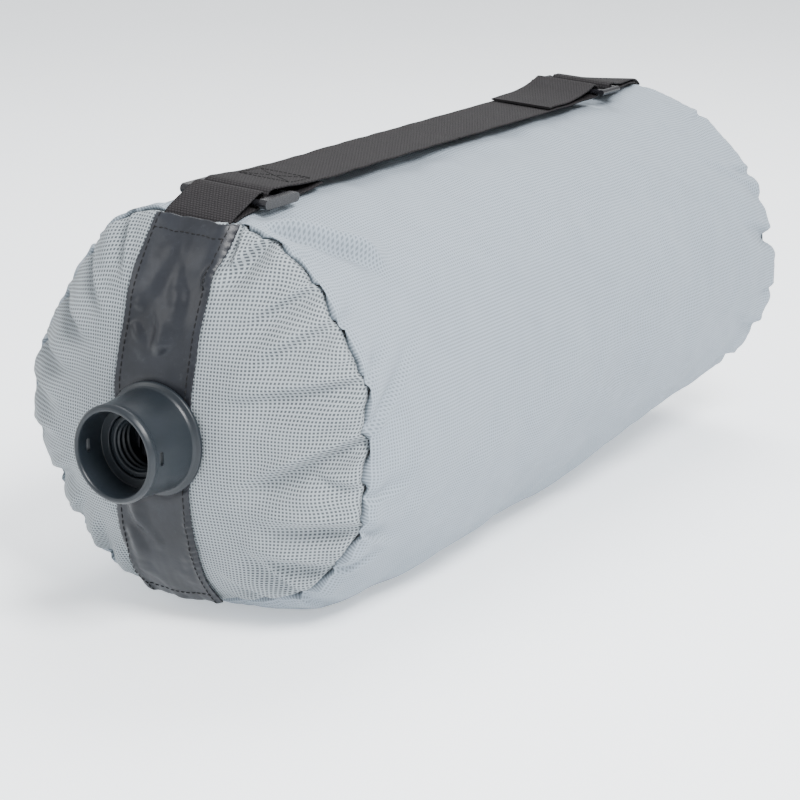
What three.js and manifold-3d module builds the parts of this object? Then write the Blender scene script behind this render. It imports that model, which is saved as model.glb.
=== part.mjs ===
// Fabric dust collection bag for a wall and ceiling sander: a stuffed horizontal
// tube of non-woven fabric with two domed caps, a hose connector clamped through
// the front cap, a vinyl reinforcement strip, a webbing carry strap on hardware
// along the top and a zipper across the rear cap.
// Millimetres, +Z up, the tube axis along Y, connector toward -Y.
import * as THREE from 'three';
import { mergeVertices } from 'three/addons/utils/BufferGeometryUtils.js';
import Module from 'manifold-3d';

const wasm = await Module();
wasm.setup();

// ---------- driving dimensions ----------
const SHIFT_Y = 25.5;          // moves the bounding box centre to y = 0
const AXIS_Z = 128;            // height of the tube axis above the floor
const SEGS = 48;               // facets round the bag
const GAP = 0.4;               // clearance between neighbouring pieces

const TUBE_R_FRONT = 133.5;      // tube radius behind the front rim
const TUBE_R_REAR = 141;       // tube radius before the rear rim
const TUBE_Y = 262;            // distance of both full radii from the middle
const RIM_Y = 285;             // seam plane of both caps
const WALL = 2;                // fabric wall
const RIM_R_FRONT = 130;
const RIM_R_REAR = 135;
const DOME_F = 50;             // depth of the front dome
const DOME_R = 38;             // depth of the rear dome
const FLAT_R = 46;             // flat area of the front cap under the connector

const ROLL = 4 * Math.PI / 180; // strap and vinyl sit this far round from the top

const CONN_X = 4;              // connector axis
const CONN_Z = 129.5;
const MOUTH_Y = -374;
const MOUTH_R = 28.6;
const SOCKET_BORE = 26.6;
const SOCKET_BASE_R = 32.6;
const SOCKET_FLANGE_R = 36;
const SHOULDER_Y = -352;
const NECK_R = 20;
const NECK_BORE = 16.5;
const RIDGE_R = 15.2;
const LOCK_FLANGE_R = 40;
const LOCK_FLANGE_T = 3;
const GASKET_T = 1.2;
const SLOT_Y = -364.5;
const SLOT_W = 3;
const SLOT_H = 8.5;

const VINYL_W = 58;
const VINYL_T = 1.3;
const VINYL_R = 128.4;

const WEB_W = 50;              // webbing width
const WEB_T = 1.5;             // webbing thickness
const STRAP_MID_Z = 273.6;     // height of the strap's middle line over the bag's middle
const STRAP_RISE = 0.008;      // its rise towards the rear
const BAR_R = 2.2;
const WRAP_R = BAR_R + 0.35 + WEB_T / 2;
const SLIDER_Z = 268.5;
const SLIDER_BARS = [-262, -247, -232];
const RING_Z = 279.5;
const RING_BARS = [176, 198];
const REAR_TWIST = -8.4 * Math.PI / 180; // the rear anchor runs back over the bag to a point this far round
const RAIL_IN = 27.5;
const RAIL_OUT = 33;

const ZIP_H = 26;              // zipper line above the tube axis
const ZIP_SLOT = 7;            // half opening between the rear cap halves
const TAPE_IN = 0.9, TAPE_OUT = 18, TAPE_T = 0.8;
const COIL_IN = 0.9, COIL_OUT = 3.4, COIL_T = 2.6;
const TAPE_DEG = 28.6, COIL_DEG = 27.4, STOP_DEG = 28.2;
const SLIDER_DEG = -25;        // rest position of the zipper slider

// ---------- derived ----------
const FR = (RIM_R_FRONT ** 2 + DOME_F ** 2) / (2 * DOME_F);
const FC = -(RIM_Y + DOME_F) + FR;                   // front sphere centre y
const RR = (RIM_R_REAR ** 2 + DOME_R ** 2) / (2 * DOME_R);
const RC = RIM_Y + DOME_R - RR;                      // rear sphere centre y
const FLAT_Y = FC - Math.sqrt(FR * FR - FLAT_R * FLAT_R);
const tubeR = y => TUBE_R_FRONT + (TUBE_R_REAR - TUBE_R_FRONT) * (y + TUBE_Y) / (2 * TUBE_Y);

// ---------- materials ----------
const mat = (color, roughness, metalness = 0) => new THREE.MeshStandardMaterial({ color, roughness, metalness });
const M = {
  fabric: mat(0xb4bbc1, 0.9),
  vinyl: mat(0x4a5058, 0.35),
  webbing: mat(0x3a383b, 0.85),
  plastic: mat(0x2a2d33, 0.45),
  tape: mat(0x6e7276, 0.85),
  metal: mat(0xa8a9ab, 0.35, 1),
  rubber: mat(0x202224, 0.8),
};

// ---------- helpers ----------
function clean(g) {
  let h = new THREE.BufferGeometry();
  h.setAttribute('position', g.getAttribute('position').clone());
  if (g.index) h.setIndex(Array.from(g.index.array));
  h = mergeVertices(h, 1e-4);
  const p = h.getAttribute('position'), ix = Array.from(h.index.array), keep = [];
  for (let i = 0; i < ix.length; i += 3) {
    const [a, b, c] = [ix[i], ix[i + 1], ix[i + 2]];
    if (a !== b && b !== c && a !== c) keep.push(a, b, c);
  }
  let vol = 0;
  const A = new THREE.Vector3(), B = new THREE.Vector3(), C = new THREE.Vector3();
  for (let i = 0; i < keep.length; i += 3) {
    A.fromBufferAttribute(p, keep[i]); B.fromBufferAttribute(p, keep[i + 1]); C.fromBufferAttribute(p, keep[i + 2]);
    vol += A.dot(B.cross(C)) / 6;
  }
  if (vol < 0) for (let i = 0; i < keep.length; i += 3) { const t = keep[i + 1]; keep[i + 1] = keep[i + 2]; keep[i + 2] = t; }
  h.setIndex(keep);
  return h;
}
function solid(g) {
  const h = clean(g);
  const p = h.getAttribute('position').array;
  return new wasm.Manifold(new wasm.Mesh({ numProp: 3, vertProperties: new Float32Array(p), triVerts: new Uint32Array(h.index.array) }));
}
function toGeo(m) {
  const q = m.getMesh(), h = new THREE.BufferGeometry();
  const n = q.vertProperties.length / q.numProp, p = new Float32Array(n * 3);
  for (let i = 0; i < n; i++) for (let k = 0; k < 3; k++) p[3 * i + k] = q.vertProperties[i * q.numProp + k];
  h.setAttribute('position', new THREE.BufferAttribute(p, 3));
  h.setIndex(Array.from(q.triVerts));
  return h;
}
// closed profile [r, y], axis Y through (0, AXIS_Z); floor heights clamp the bottom
function lathe(profile, floors = null, segs = SEGS) {
  const pts = profile.concat([profile[0]]).map(([r, y]) => new THREE.Vector2(r, y));
  const g = new THREE.LatheGeometry(pts, segs);
  const p = g.getAttribute('position'), n = pts.length;
  for (let i = 0; i < p.count; i++) {
    let z = p.getZ(i) + AXIS_Z;
    if (floors) z = Math.max(z, floors[(i % n) % profile.length]);
    p.setZ(i, z);
  }
  return clean(g);
}
function box(x0, x1, y0, y1, z0, z1) {
  const g = new THREE.BoxGeometry(x1 - x0, y1 - y0, z1 - z0);
  g.translate((x0 + x1) / 2, (y0 + y1) / 2, (z0 + z1) / 2);
  return g;
}
// cylinder along an axis
function rod(axis, r, a, b, c0, c1, n = 16) {
  const g = new THREE.CylinderGeometry(r, r, b - a, n);
  if (axis === 'x') { g.rotateZ(Math.PI / 2); g.translate((a + b) / 2, c0, c1); }
  if (axis === 'y') g.translate(c0, (a + b) / 2, c1);
  if (axis === 'z') { g.rotateX(Math.PI / 2); g.translate(c0, c1, (a + b) / 2); }
  return g;
}
// outline in the YZ plane carried along X
function prism(outline, x0, x1) {
  const s = new THREE.Shape(outline.map(([y, z]) => new THREE.Vector2(y, z)));
  const g = new THREE.ExtrudeGeometry(s, { depth: x1 - x0, bevelEnabled: false });
  const p = g.getAttribute('position');
  for (let i = 0; i < p.count; i++) {
    const a = p.getX(i), b = p.getY(i), c = p.getZ(i);
    p.setXYZ(i, c + x0, a, b);
  }
  return clean(g);
}
// flat webbing following a centreline in the YZ plane
function ribbon(path, t = WEB_T, w = WEB_W) {
  const L = [], R = [];
  for (let i = 0; i < path.length; i++) {
    const a = path[Math.max(i - 1, 0)], b = path[i], c = path[Math.min(i + 1, path.length - 1)];
    const d1 = [b[0] - a[0], b[1] - a[1]], d2 = [c[0] - b[0], c[1] - b[1]];
    const u = v => { const l = Math.hypot(v[0], v[1]) || 1; return [v[0] / l, v[1] / l]; };
    const e1 = i === 0 ? u(d2) : u(d1), e2 = i === path.length - 1 ? u(d1) : u(d2);
    const n = u([-(e1[1] + e2[1]), e1[0] + e2[0]]);
    const k = (t / 2) / Math.max(0.5, n[0] * -e1[1] + n[1] * e1[0]);
    L.push([b[0] + n[0] * k, b[1] + n[1] * k]);
    R.push([b[0] - n[0] * k, b[1] - n[1] * k]);
  }
  return prism(L.concat(R.reverse()), -w / 2, w / 2);
}
// turns every point about the bag's middle line by an angle that depends on its own y
function twisted(g, angle) {
  const p = g.getAttribute('position');
  for (let i = 0; i < p.count; i++) {
    const x = p.getX(i), y = p.getY(i), z = p.getZ(i) - AXIS_Z, a = angle(y);
    p.setXYZ(i, x * Math.cos(a) + z * Math.sin(a), y, -x * Math.sin(a) + z * Math.cos(a) + AXIS_Z);
  }
  return clean(g);
}
function arc(cy, cz, r, a0, a1, n) {
  const out = [];
  for (let i = 0; i <= n; i++) {
    const a = (a0 + (a1 - a0) * i / n) * Math.PI / 180;
    out.push([cy + r * Math.cos(a), cz + r * Math.sin(a)]);
  }
  return out;
}
// closed block on an nu x nv grid, w = 0 and 1 are its two faces
function gridSolid(nu, nv, f) {
  const v = [], id = (i, j, k) => (k * (nv + 1) + j) * (nu + 1) + i, ix = [];
  for (let k = 0; k < 2; k++) for (let j = 0; j <= nv; j++) for (let i = 0; i <= nu; i++) v.push(...f(i, j, k));
  const quad = (a, b, c, d) => ix.push(a, b, c, a, c, d);
  for (let j = 0; j < nv; j++) for (let i = 0; i < nu; i++) {
    quad(id(i, j, 1), id(i + 1, j, 1), id(i + 1, j + 1, 1), id(i, j + 1, 1));
    quad(id(i, j, 0), id(i, j + 1, 0), id(i + 1, j + 1, 0), id(i + 1, j, 0));
  }
  for (let i = 0; i < nu; i++) {
    quad(id(i, 0, 0), id(i + 1, 0, 0), id(i + 1, 0, 1), id(i, 0, 1));
    quad(id(i, nv, 0), id(i, nv, 1), id(i + 1, nv, 1), id(i + 1, nv, 0));
  }
  for (let j = 0; j < nv; j++) {
    quad(id(0, j, 0), id(0, j, 1), id(0, j + 1, 1), id(0, j + 1, 0));
    quad(id(nu, j, 0), id(nu, j + 1, 0), id(nu, j + 1, 1), id(nu, j, 1));
  }
  const g = new THREE.BufferGeometry();
  g.setAttribute('position', new THREE.Float32BufferAttribute(v, 3));
  g.setIndex(ix);
  return clean(g);
}
// strip of a sphere about the rear centre, s = distance from the zipper line
function zipStrip(s0, s1, r0, r1, degA, degB, n, nv = 1, edge = null) {
  return gridSolid(n, nv, (i, j, k) => {
    const th = (degA + (degB - degA) * i / n) * Math.PI / 180, r = k ? r1 : r0;
    let s = s0 + (s1 - s0) * j / nv;
    if (edge && j === 0) s += edge(i);
    const z = ZIP_H + s, rp = Math.sqrt(r * r - z * z);
    return [rp * Math.sin(th), RC + rp * Math.cos(th), AXIS_Z + z];
  });
}
const group = new THREE.Group();
group.name = 'dust_collection_bag';
function add(name, geo, material) {
  const g = clean(geo);
  g.translate(0, SHIFT_Y, 0);
  g.computeVertexNormals();
  const m = new THREE.Mesh(g, material);
  m.name = name;
  group.add(m);
}
const rolled = g => { g.translate(0, 0, -AXIS_Z); g.rotateY(ROLL); g.translate(0, 0, AXIS_Z); return g; };

// ---------- tube ----------
{
  const outer = [[RIM_R_FRONT + 0.4, -282.6], [132.2, -278], [133.2, -271], [TUBE_R_FRONT, -TUBE_Y], [tubeR(-130), -130], [tubeR(0), 0], [tubeR(130), 130],
    [TUBE_R_REAR, TUBE_Y], [140.2, 271], [138.2, 278], [RIM_R_REAR + 0.6, 282.6]];
  const inner = outer.map(([r, y]) => [r - WALL, y]).reverse();
  const prof = outer.concat(inner);
  add('tube_panel', lathe(prof, prof.map((_, i) => i < outer.length ? 0 : WALL)), M.fabric);
}
// long seam of the tube, covered inside by a tape low on the back
add('tube_seam_tape', gridSolid(8, 3, (i, j, k) => {
  const y = -250 + 500 * i / 8, a = (-142 + 9 * j / 3) * Math.PI / 180;
  const r = tubeR(y) - WALL - 0.9 - (k ? 0 : 1);
  return [r * Math.sin(a), y, AXIS_Z + r * Math.cos(a)];
}), M.tape);

// ---------- front cap, gasket, connector ----------
const capFrontY = r => r < FLAT_R ? FLAT_Y : FC - Math.sqrt(FR * FR - r * r);
const radii = [0, FLAT_R, 58, 70, 82, 94, 105, 115, 123, RIM_R_FRONT];
const connHole = (r, y0, y1) => solid(rod('y', r, y0, y1, CONN_X, CONN_Z, 32));
{
  const o = radii.map(r => [r, capFrontY(r)]);
  const n = radii.map(r => [Math.max(r, 0), capFrontY(r) + WALL]).reverse();
  const cap = solid(lathe(o.concat(n)));
  add('front_cap_panel', toGeo(cap.subtract(connHole(NECK_R + 1, -340, -310))), M.fabric);
}
{
  const rr = radii.filter(r => r < VINYL_R).concat([VINYL_R]);
  const nrm = r => r < FLAT_R ? 0 : r / FR;
  const off = (r, d) => { const s = nrm(r); return [r + d * s, capFrontY(r) - d * Math.sqrt(1 - s * s)]; };
  const o = rr.map(r => off(r, 0.35 + VINYL_T)), n = rr.map(r => off(r, 0.35)).reverse();
  const dome = solid(lathe(o.concat(n)));
  const cut = solid(rolled(box(-VINYL_W / 2, VINYL_W / 2, -345, -270, -10, 300)));
  add('vinyl_reinforcement_strip', toGeo(dome.intersect(cut).subtract(connHole(NECK_R + 1, -345, -310))), M.vinyl);
}
const connLathe = (prof, n = 40) => { const g = lathe(prof, null, n); g.translate(CONN_X, 0, CONN_Z - AXIS_Z); return g; };
const SOCK_Y = FLAT_Y - 0.35 - VINYL_T - 0.35;
{
  const prof = [[NECK_R + 0.6, SOCK_Y], [SOCKET_FLANGE_R, SOCK_Y], [SOCKET_FLANGE_R, SOCK_Y - 2], [SOCKET_FLANGE_R - 1.2, SOCK_Y - 3],
    [SOCKET_BASE_R, SOCK_Y - 3.4], [MOUTH_R + 1.4, MOUTH_Y + 12], [MOUTH_R + 0.6, MOUTH_Y + 1.2], [MOUTH_R - 0.4, MOUTH_Y], [SOCKET_BORE + 0.5, MOUTH_Y],
    [SOCKET_BORE, MOUTH_Y + 0.8], [SOCKET_BORE - 0.3, SHOULDER_Y], [NECK_R + 0.6, SHOULDER_Y]];
  let s = solid(connLathe(prof, 48));
  for (const sx of [-1, 1]) {
    const xa = CONN_X + sx * 24, xb = CONN_X + sx * 34;
    s = s.subtract(solid(box(Math.min(xa, xb), Math.max(xa, xb), SLOT_Y - SLOT_W / 2, SLOT_Y + SLOT_W / 2, CONN_Z - SLOT_H / 2, CONN_Z + SLOT_H / 2)));
  }
  add('connector_socket', toGeo(s), M.plastic);
}
const CAP_IN = FLAT_Y + WALL;
add('connector_gasket', connLathe([[NECK_R + 0.8, CAP_IN + 0.35], [LOCK_FLANGE_R - 1, CAP_IN + 0.35], [LOCK_FLANGE_R - 1, CAP_IN + 0.35 + GASKET_T], [NECK_R + 0.8, CAP_IN + 0.35 + GASKET_T]], 32), M.rubber);
{
  const f0 = CAP_IN + 0.35 + GASKET_T + 0.35, f1 = f0 + LOCK_FLANGE_T;
  const y1 = SHOULDER_Y + 1.4;
  const prof = [[NECK_BORE, f1], [LOCK_FLANGE_R - 1, f1], [LOCK_FLANGE_R, f1 - 1], [LOCK_FLANGE_R, f0], [NECK_R, f0], [NECK_R, y1 + 0.6], [NECK_R - 0.6, y1], [NECK_BORE + 0.4, y1]];
  for (const c of [y1 + 3.2, y1 + 7.7, y1 + 12.2]) prof.push([NECK_BORE, c - 1.2], [RIDGE_R, c - 0.4], [RIDGE_R, c + 0.4], [NECK_BORE, c + 1.2]);
  add('connector_lock_ring', connLathe(prof, 40), M.plastic);
}

// ---------- seam bindings inside the rims ----------
{
  const ring = (r, y0, y1) => {
    const prof = [[r, y0], [r, y1], [r - 1.4, y1], [r - 1.4, y0]];
    return lathe(prof, [2.6, 2.6, 4, 4]);
  };
  add('front_rim_binding', ring(127.4, -281.6, -273.5), M.tape);
  add('rear_rim_binding', ring(132.9, 273.5, 281.6), M.tape);
}

// ---------- rear cap ----------
const ZIP_Z = AXIS_Z + ZIP_H;
{
  const rad = [0, 22, 44, 64, 82, 98, 112, 124, RIM_R_REAR];
  const o = rad.map(r => [r, RC + Math.sqrt(RR * RR - r * r)]);
  const RI = RR - WALL;
  const n = rad.map(r => Math.min(r, RIM_R_REAR - 0.6)).map(r => [r, RC + Math.sqrt(RI * RI - r * r)]).reverse();
  const prof = o.concat(n);
  const shell = solid(lathe(prof, prof.map((_, i) => i < o.length ? 0 : WALL)));
  add('rear_cap_upper_panel', toGeo(shell.intersect(solid(box(-150, 150, 270, 340, ZIP_Z + ZIP_SLOT, 300)))), M.fabric);
  add('rear_cap_lower_panel', toGeo(shell.intersect(solid(box(-150, 150, 270, 340, -20, ZIP_Z - ZIP_SLOT)))), M.fabric);
}
// ---------- zipper ----------
const TAPE_R1 = RR - WALL - 0.55, TAPE_R0 = TAPE_R1 - TAPE_T;
const COIL_R0 = TAPE_R1 + 0.3, COIL_R1 = COIL_R0 + COIL_T;
for (const [nm, sg] of [['upper', 1], ['lower', -1]]) {
  add('zipper_tape_' + nm, zipStrip(sg * TAPE_IN, sg * TAPE_OUT, TAPE_R0, TAPE_R1, -TAPE_DEG, TAPE_DEG, 22, 3), M.tape);
  add('zipper_coil_' + nm, zipStrip(sg * COIL_IN, sg * COIL_OUT, COIL_R0, COIL_R1, -COIL_DEG, COIL_DEG, 64, 1, i => sg * (i % 2 ? 0.35 : 0)), M.plastic);
}
add('zipper_stop_left', zipStrip(-COIL_OUT, COIL_OUT, COIL_R0, COIL_R1, -STOP_DEG, -COIL_DEG - 0.15, 1, 2), M.metal);
add('zipper_stop_right', zipStrip(-COIL_OUT, COIL_OUT, COIL_R0, COIL_R1, COIL_DEG + 0.15, STOP_DEG, 1, 2), M.metal);

// slider frame: x along the zipper, y outward, z across; origin at the sphere centre
const TILT = Math.asin(ZIP_H / RR);
function place(g) {
  g.rotateX(TILT);
  g.rotateZ(-SLIDER_DEG * Math.PI / 180);
  g.translate(0, RC, AXIS_Z);
  return g;
}
{
  const b0 = TAPE_R0 - 0.5 - 1.6, b1 = TAPE_R0 - 0.5, t0 = COIL_R1 + 0.5, t1 = t0 + 1.6;
  let s = solid(box(-6, 6, b0, b1, -5, 5));
  s = s.add(solid(box(-6, 6, t0, t1, -5, 5)));
  s = s.add(solid(box(2, 6, b1 - 0.05, t0 + 0.05, -0.5, 0.5)));
  for (const c of [-1, 1]) s = s.add(solid(box(-6, 6, TAPE_R1 + 0.6, t0 + 0.05, Math.min(c * 4, c * 5), Math.max(c * 4, c * 5))));
  for (const c of [-1, 1]) s = s.add(solid(box(Math.min(c * 3.5, c * 4.9), Math.max(c * 3.5, c * 4.9), t1 - 0.05, t1 + 3.6, -1.5, 1.5)));
  s = s.add(solid(box(-4.9, 4.9, t1 + 2.4, t1 + 3.6, -1.5, 1.5)));
  add('zipper_slider', place(toGeo(s)), M.metal);
  const n = t1 + 1.2;
  let p = solid(rod('z', 0.8, -4, 4, 0, n, 12));
  for (const c of [-1, 1]) p = p.add(solid(box(0, 8, n - 0.8, n + 0.8, Math.min(c * 2.2, c * 4), Math.max(c * 2.2, c * 4))));
  p = p.add(solid(box(7.5, 22, n - 0.8, n + 0.8, -4, 4)));
  p = p.add(solid(rod('y', 4, n - 0.8, n + 0.8, 22, 0, 20)));
  p = p.subtract(solid(rod('y', 1.9, n - 3, n + 3, 21.5, 0, 16)));
  add('zipper_pull_tab', place(toGeo(p)), M.metal);
}

// ---------- strap and hardware ----------
const strapZ = y => STRAP_MID_Z + STRAP_RISE * y;
const FB = SLIDER_BARS[0], MB = SLIDER_BARS[1];
add('front_anchor_webbing', rolled(ribbon([[-285, 261.8], [-279, 264.6], [-271.5, 268.9]]
  .concat(arc(FB, SLIDER_Z, WRAP_R, 118, -100, 10)).concat([[-271, 264.1], [-278, 261.6], [-284.3, 259.4]]))), M.webbing);
add('strap_front', rolled(ribbon([[-150.2, strapZ(-150.2)], [-190, strapZ(-190)], [-215, strapZ(-215)], [-232, 271.9]]
  .concat(arc(MB, SLIDER_Z, WRAP_R, 88, 268, 9)).concat([[-232, 265.1], [-215, 266.2], [-192, 269.4]]))), M.webbing);
add('strap_grip', rolled(ribbon([[99.8, strapZ(99.8)], [-149.8, strapZ(-149.8)]])), M.webbing);
add('strap_rear', rolled(ribbon([[100.2, strapZ(100.2)], [135, strapZ(135)], [158, 275.4]]
  .concat(arc(RING_BARS[0], RING_Z, WRAP_R, -98, 100, 10)).concat([[165, 281.9], [150, 279.4], [132, 277.4], [102, 276.6]]))), M.webbing);
add('rear_anchor_webbing', twisted(ribbon([[287, 267.6], [279, 271.0], [262, 273.6], [248, 274.9], [235, 276.2], [222, 277.9], [210, 280.2]]
  .concat(arc(RING_BARS[1], RING_Z, WRAP_R, 66, 280, 10)).concat([[210, 275.8], [222, 274.7], [235, 273.5], [248, 272.4], [262, 271.2], [279, 268.7], [285.6, 265.3]])),
  y => ROLL + REAR_TWIST * Math.min(1, Math.max(0, (y - RING_BARS[1] - 4) / (285 - RING_BARS[1] - 4)))), M.webbing);
{
  const y0 = SLIDER_BARS[0], y1 = SLIDER_BARS[2];
  const h = 3.1, out = arc(y0, SLIDER_Z, h, 90, 270, 8).concat(arc(y1, SLIDER_Z, h, -90, 90, 8));
  let s = null;
  for (const c of [-1, 1]) {
    const r = solid(prism(out, Math.min(c * RAIL_IN, c * RAIL_OUT), Math.max(c * RAIL_IN, c * RAIL_OUT)));
    s = s ? s.add(r) : r;
  }
  for (const y of SLIDER_BARS) s = s.add(solid(rod('x', BAR_R, -RAIL_IN - 1, RAIL_IN + 1, y, SLIDER_Z, 14)));
  add('front_slider', rolled(toGeo(s)), M.plastic);
}
{
  const c0 = RAIL_IN + BAR_R;
  let s = null;
  for (const c of [-1, 1]) {
    const r = solid(rod('y', BAR_R, RING_BARS[0] - BAR_R, RING_BARS[1] + BAR_R, c * c0, RING_Z, 14));
    s = s ? s.add(r) : r;
  }
  for (const y of RING_BARS) s = s.add(solid(rod('x', BAR_R - 0.02, -c0, c0, y, RING_Z, 14)));
  add('rear_ring', rolled(toGeo(s)), M.plastic);
}

export default group;
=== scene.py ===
import bpy, bmesh, math
import numpy as np
from mathutils import Matrix, Vector
from mathutils.bvhtree import BVHTree


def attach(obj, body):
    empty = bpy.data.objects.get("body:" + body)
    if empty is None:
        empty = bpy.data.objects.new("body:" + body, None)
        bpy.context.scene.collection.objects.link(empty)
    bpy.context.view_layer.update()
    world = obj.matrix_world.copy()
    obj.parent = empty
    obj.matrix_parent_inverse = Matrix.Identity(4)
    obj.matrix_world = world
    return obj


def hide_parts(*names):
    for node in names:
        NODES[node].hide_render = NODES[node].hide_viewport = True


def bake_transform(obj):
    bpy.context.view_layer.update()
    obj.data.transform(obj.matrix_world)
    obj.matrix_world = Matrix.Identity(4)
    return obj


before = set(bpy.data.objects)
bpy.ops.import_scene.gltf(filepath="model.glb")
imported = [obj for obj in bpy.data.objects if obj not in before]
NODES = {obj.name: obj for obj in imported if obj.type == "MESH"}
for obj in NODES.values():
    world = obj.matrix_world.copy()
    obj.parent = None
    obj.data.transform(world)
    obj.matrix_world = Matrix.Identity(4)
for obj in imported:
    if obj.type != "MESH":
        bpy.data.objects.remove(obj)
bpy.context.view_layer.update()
SH = 25.5          # mm, row frame y minus the bag's own y
AZ = 128.0         # axis height
ROLL = math.radians(4.0)
CX, CZ = 4.0, 129.5
FLAT_Y = -329.47
N = 208
rng = np.random.default_rng(11)
scene = bpy.context.scene
COL = scene.collection


# ------------------------------------------------------------------ materials
class Mat:
    def __init__(self, name):
        self.m = bpy.data.materials.new(name)
        self.m.use_nodes = True
        self.t = self.m.node_tree
        self.b = self.t.nodes["Principled BSDF"]

    def n(self, kind, **kw):
        x = self.t.nodes.new(kind)
        for k, v in kw.items():
            if k.startswith("i_"):
                key = k[2:]
                x.inputs[int(key) if key.isdigit() else key].default_value = v
            else:
                setattr(x, k, v)
        return x

    def link(self, a, b):
        self.t.links.new(a, b)

    def math(self, op, a, b=None, c=None):
        x = self.n("ShaderNodeMath", operation=op)
        for k, v in enumerate((a, b, c)):
            if v is None:
                continue
            if isinstance(v, (int, float)):
                x.inputs[k].default_value = v
            else:
                self.link(v, x.inputs[k])
        return x.outputs[0]

    def noise(self, scale, detail=3, rough=0.55, vec=None, dist=0.0):
        x = self.n("ShaderNodeTexNoise")
        x.inputs["Scale"].default_value = scale
        x.inputs["Detail"].default_value = detail
        x.inputs["Roughness"].default_value = rough
        x.inputs["Distortion"].default_value = dist
        if vec is not None:
            self.link(vec, x.inputs["Vector"])
        return x.outputs["Fac"]

    def ramp(self, fac, stops):
        x = self.n("ShaderNodeValToRGB")
        self.link(fac, x.inputs["Fac"])
        e = x.color_ramp.elements
        while len(e) < len(stops):
            e.new(0.5)
        for k, (p, c) in enumerate(stops):
            e[k].position = p
            e[k].color = (*c, 1) if len(c) == 3 else c
        return x.outputs["Color"]

    def mix(self, fac, a, b):
        x = self.n("ShaderNodeMix", data_type="RGBA")
        for s, v in ((x.inputs["Factor"], fac), (x.inputs[6], a), (x.inputs[7], b)):
            if isinstance(v, (int, float)):
                s.default_value = v
            elif isinstance(v, tuple):
                s.default_value = (*v, 1)
            else:
                self.link(v, s)
        return x.outputs[2]

    def bump(self, height, distance, strength=1.0, prev=None):
        x = self.n("ShaderNodeBump")
        x.inputs["Distance"].default_value = distance
        x.inputs["Strength"].default_value = strength
        self.link(height, x.inputs["Height"])
        if prev is not None:
            self.link(prev, x.inputs["Normal"])
        return x.outputs["Normal"]

    def obj(self):
        return self.n("ShaderNodeTexCoord").outputs["Object"]

    def uv(self):
        x = self.n("ShaderNodeUVMap", uv_map="UVMap")
        s = self.n("ShaderNodeSeparateXYZ")
        self.link(x.outputs["UV"], s.inputs[0])
        return x.outputs["UV"], s.outputs["X"], s.outputs["Y"]


def mat_nonwoven(name, base, dark, pitch=0.00225, depth=0.00013, angle=0.0, contrast=1.0):
    """Spun-bond cloth, point-bonded in a grid of small pressed squares. UVs are in metres of flat cloth."""
    a = Mat(name)
    uv, u, v = a.uv()
    ca, sa = math.cos(angle), math.sin(angle)
    ur = a.math("ADD", a.math("MULTIPLY", u, ca), a.math("MULTIPLY", v, sa))
    vr = a.math("SUBTRACT", a.math("MULTIPLY", v, ca), a.math("MULTIPLY", u, sa))

    def cell(w):
        f = a.math("FRACT", a.math("MULTIPLY", w, 1 / pitch))
        return a.math("ABSOLUTE", a.math("SUBTRACT", f, 0.5))

    d = a.math("MAXIMUM", cell(ur), cell(vr))
    s = a.n("ShaderNodeMapRange", interpolation_type="SMOOTHSTEP")
    a.link(d, s.inputs["Value"])
    s.inputs["From Min"].default_value = 0.21
    s.inputs["From Max"].default_value = 0.37
    dot = s.outputs["Result"]                      # 0 in the pressed square, 1 between
    co = a.obj()
    fibre = a.noise(1500, 4, 0.7, co, 0.6)
    cloud = a.noise(9, 3, 0.5, co)
    blotch = a.noise(55, 3, 0.6, co)
    tone = a.math("ADD", a.math("MULTIPLY", a.math("SUBTRACT", cloud, 0.5), 0.30), a.math("MULTIPLY", a.math("SUBTRACT", blotch, 0.5), 0.26))
    tone = a.math("ADD", tone, a.math("MULTIPLY", a.math("SUBTRACT", fibre, 0.5), 0.35))
    f = a.math("ADD", a.math("MULTIPLY", dot, contrast), tone)
    f = a.math("ADD", f, 1.0 - contrast)
    x = a.n("ShaderNodeClamp")
    a.link(f, x.inputs[0])
    col = a.mix(x.outputs[0], dark, base)
    a.link(col, a.b.inputs["Base Color"])
    rough = a.math("ADD", 0.72, a.math("MULTIPLY", fibre, 0.2))
    a.link(rough, a.b.inputs["Roughness"])
    h = a.math("ADD", a.math("MULTIPLY", dot, 1.0), a.math("MULTIPLY", fibre, 0.45))
    nrm = a.bump(h, depth, 0.9)
    nrm = a.bump(a.noise(140, 3, 0.6, co), 0.0006, 0.35, nrm)
    a.link(nrm, a.b.inputs["Normal"])
    a.b.inputs["Sheen Weight"].default_value = 0.08
    a.b.inputs["Sheen Roughness"].default_value = 0.5
    a.b.inputs["Specular IOR Level"].default_value = 0.25
    return a.m


def mat_vinyl(name):
    a = Mat(name)
    co = a.obj()
    big = a.noise(35, 4, 0.55, co)
    fine = a.noise(900, 3, 0.6, co)
    scuff = a.noise(160, 5, 0.75, co, 1.2)
    col = a.ramp(big, [(0.3, (0.010, 0.011, 0.014)), (0.7, (0.018, 0.020, 0.025))])
    pale = a.ramp(scuff, [(0.58, (0, 0, 0)), (0.75, (0.3, 0.3, 0.3))])
    col = a.mix(pale, col, (0.045, 0.050, 0.058))
    a.link(col, a.b.inputs["Base Color"])
    r = a.math("ADD", 0.29, a.math("MULTIPLY", scuff, 0.18))
    a.link(r, a.b.inputs["Roughness"])
    vor = a.n("ShaderNodeTexVoronoi", feature="F1")
    vor.inputs["Scale"].default_value = 1400
    a.link(co, vor.inputs["Vector"])
    nrm = a.bump(vor.outputs["Distance"], 0.00005, 0.35)
    nrm = a.bump(a.math("ADD", a.noise(60, 3, 0.5, co, 0.3), a.math("MULTIPLY", fine, 0.05)), 0.0009, 0.35, nrm)
    a.link(nrm, a.b.inputs["Normal"])
    a.b.inputs["Specular IOR Level"].default_value = 0.22
    return a.m


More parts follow.
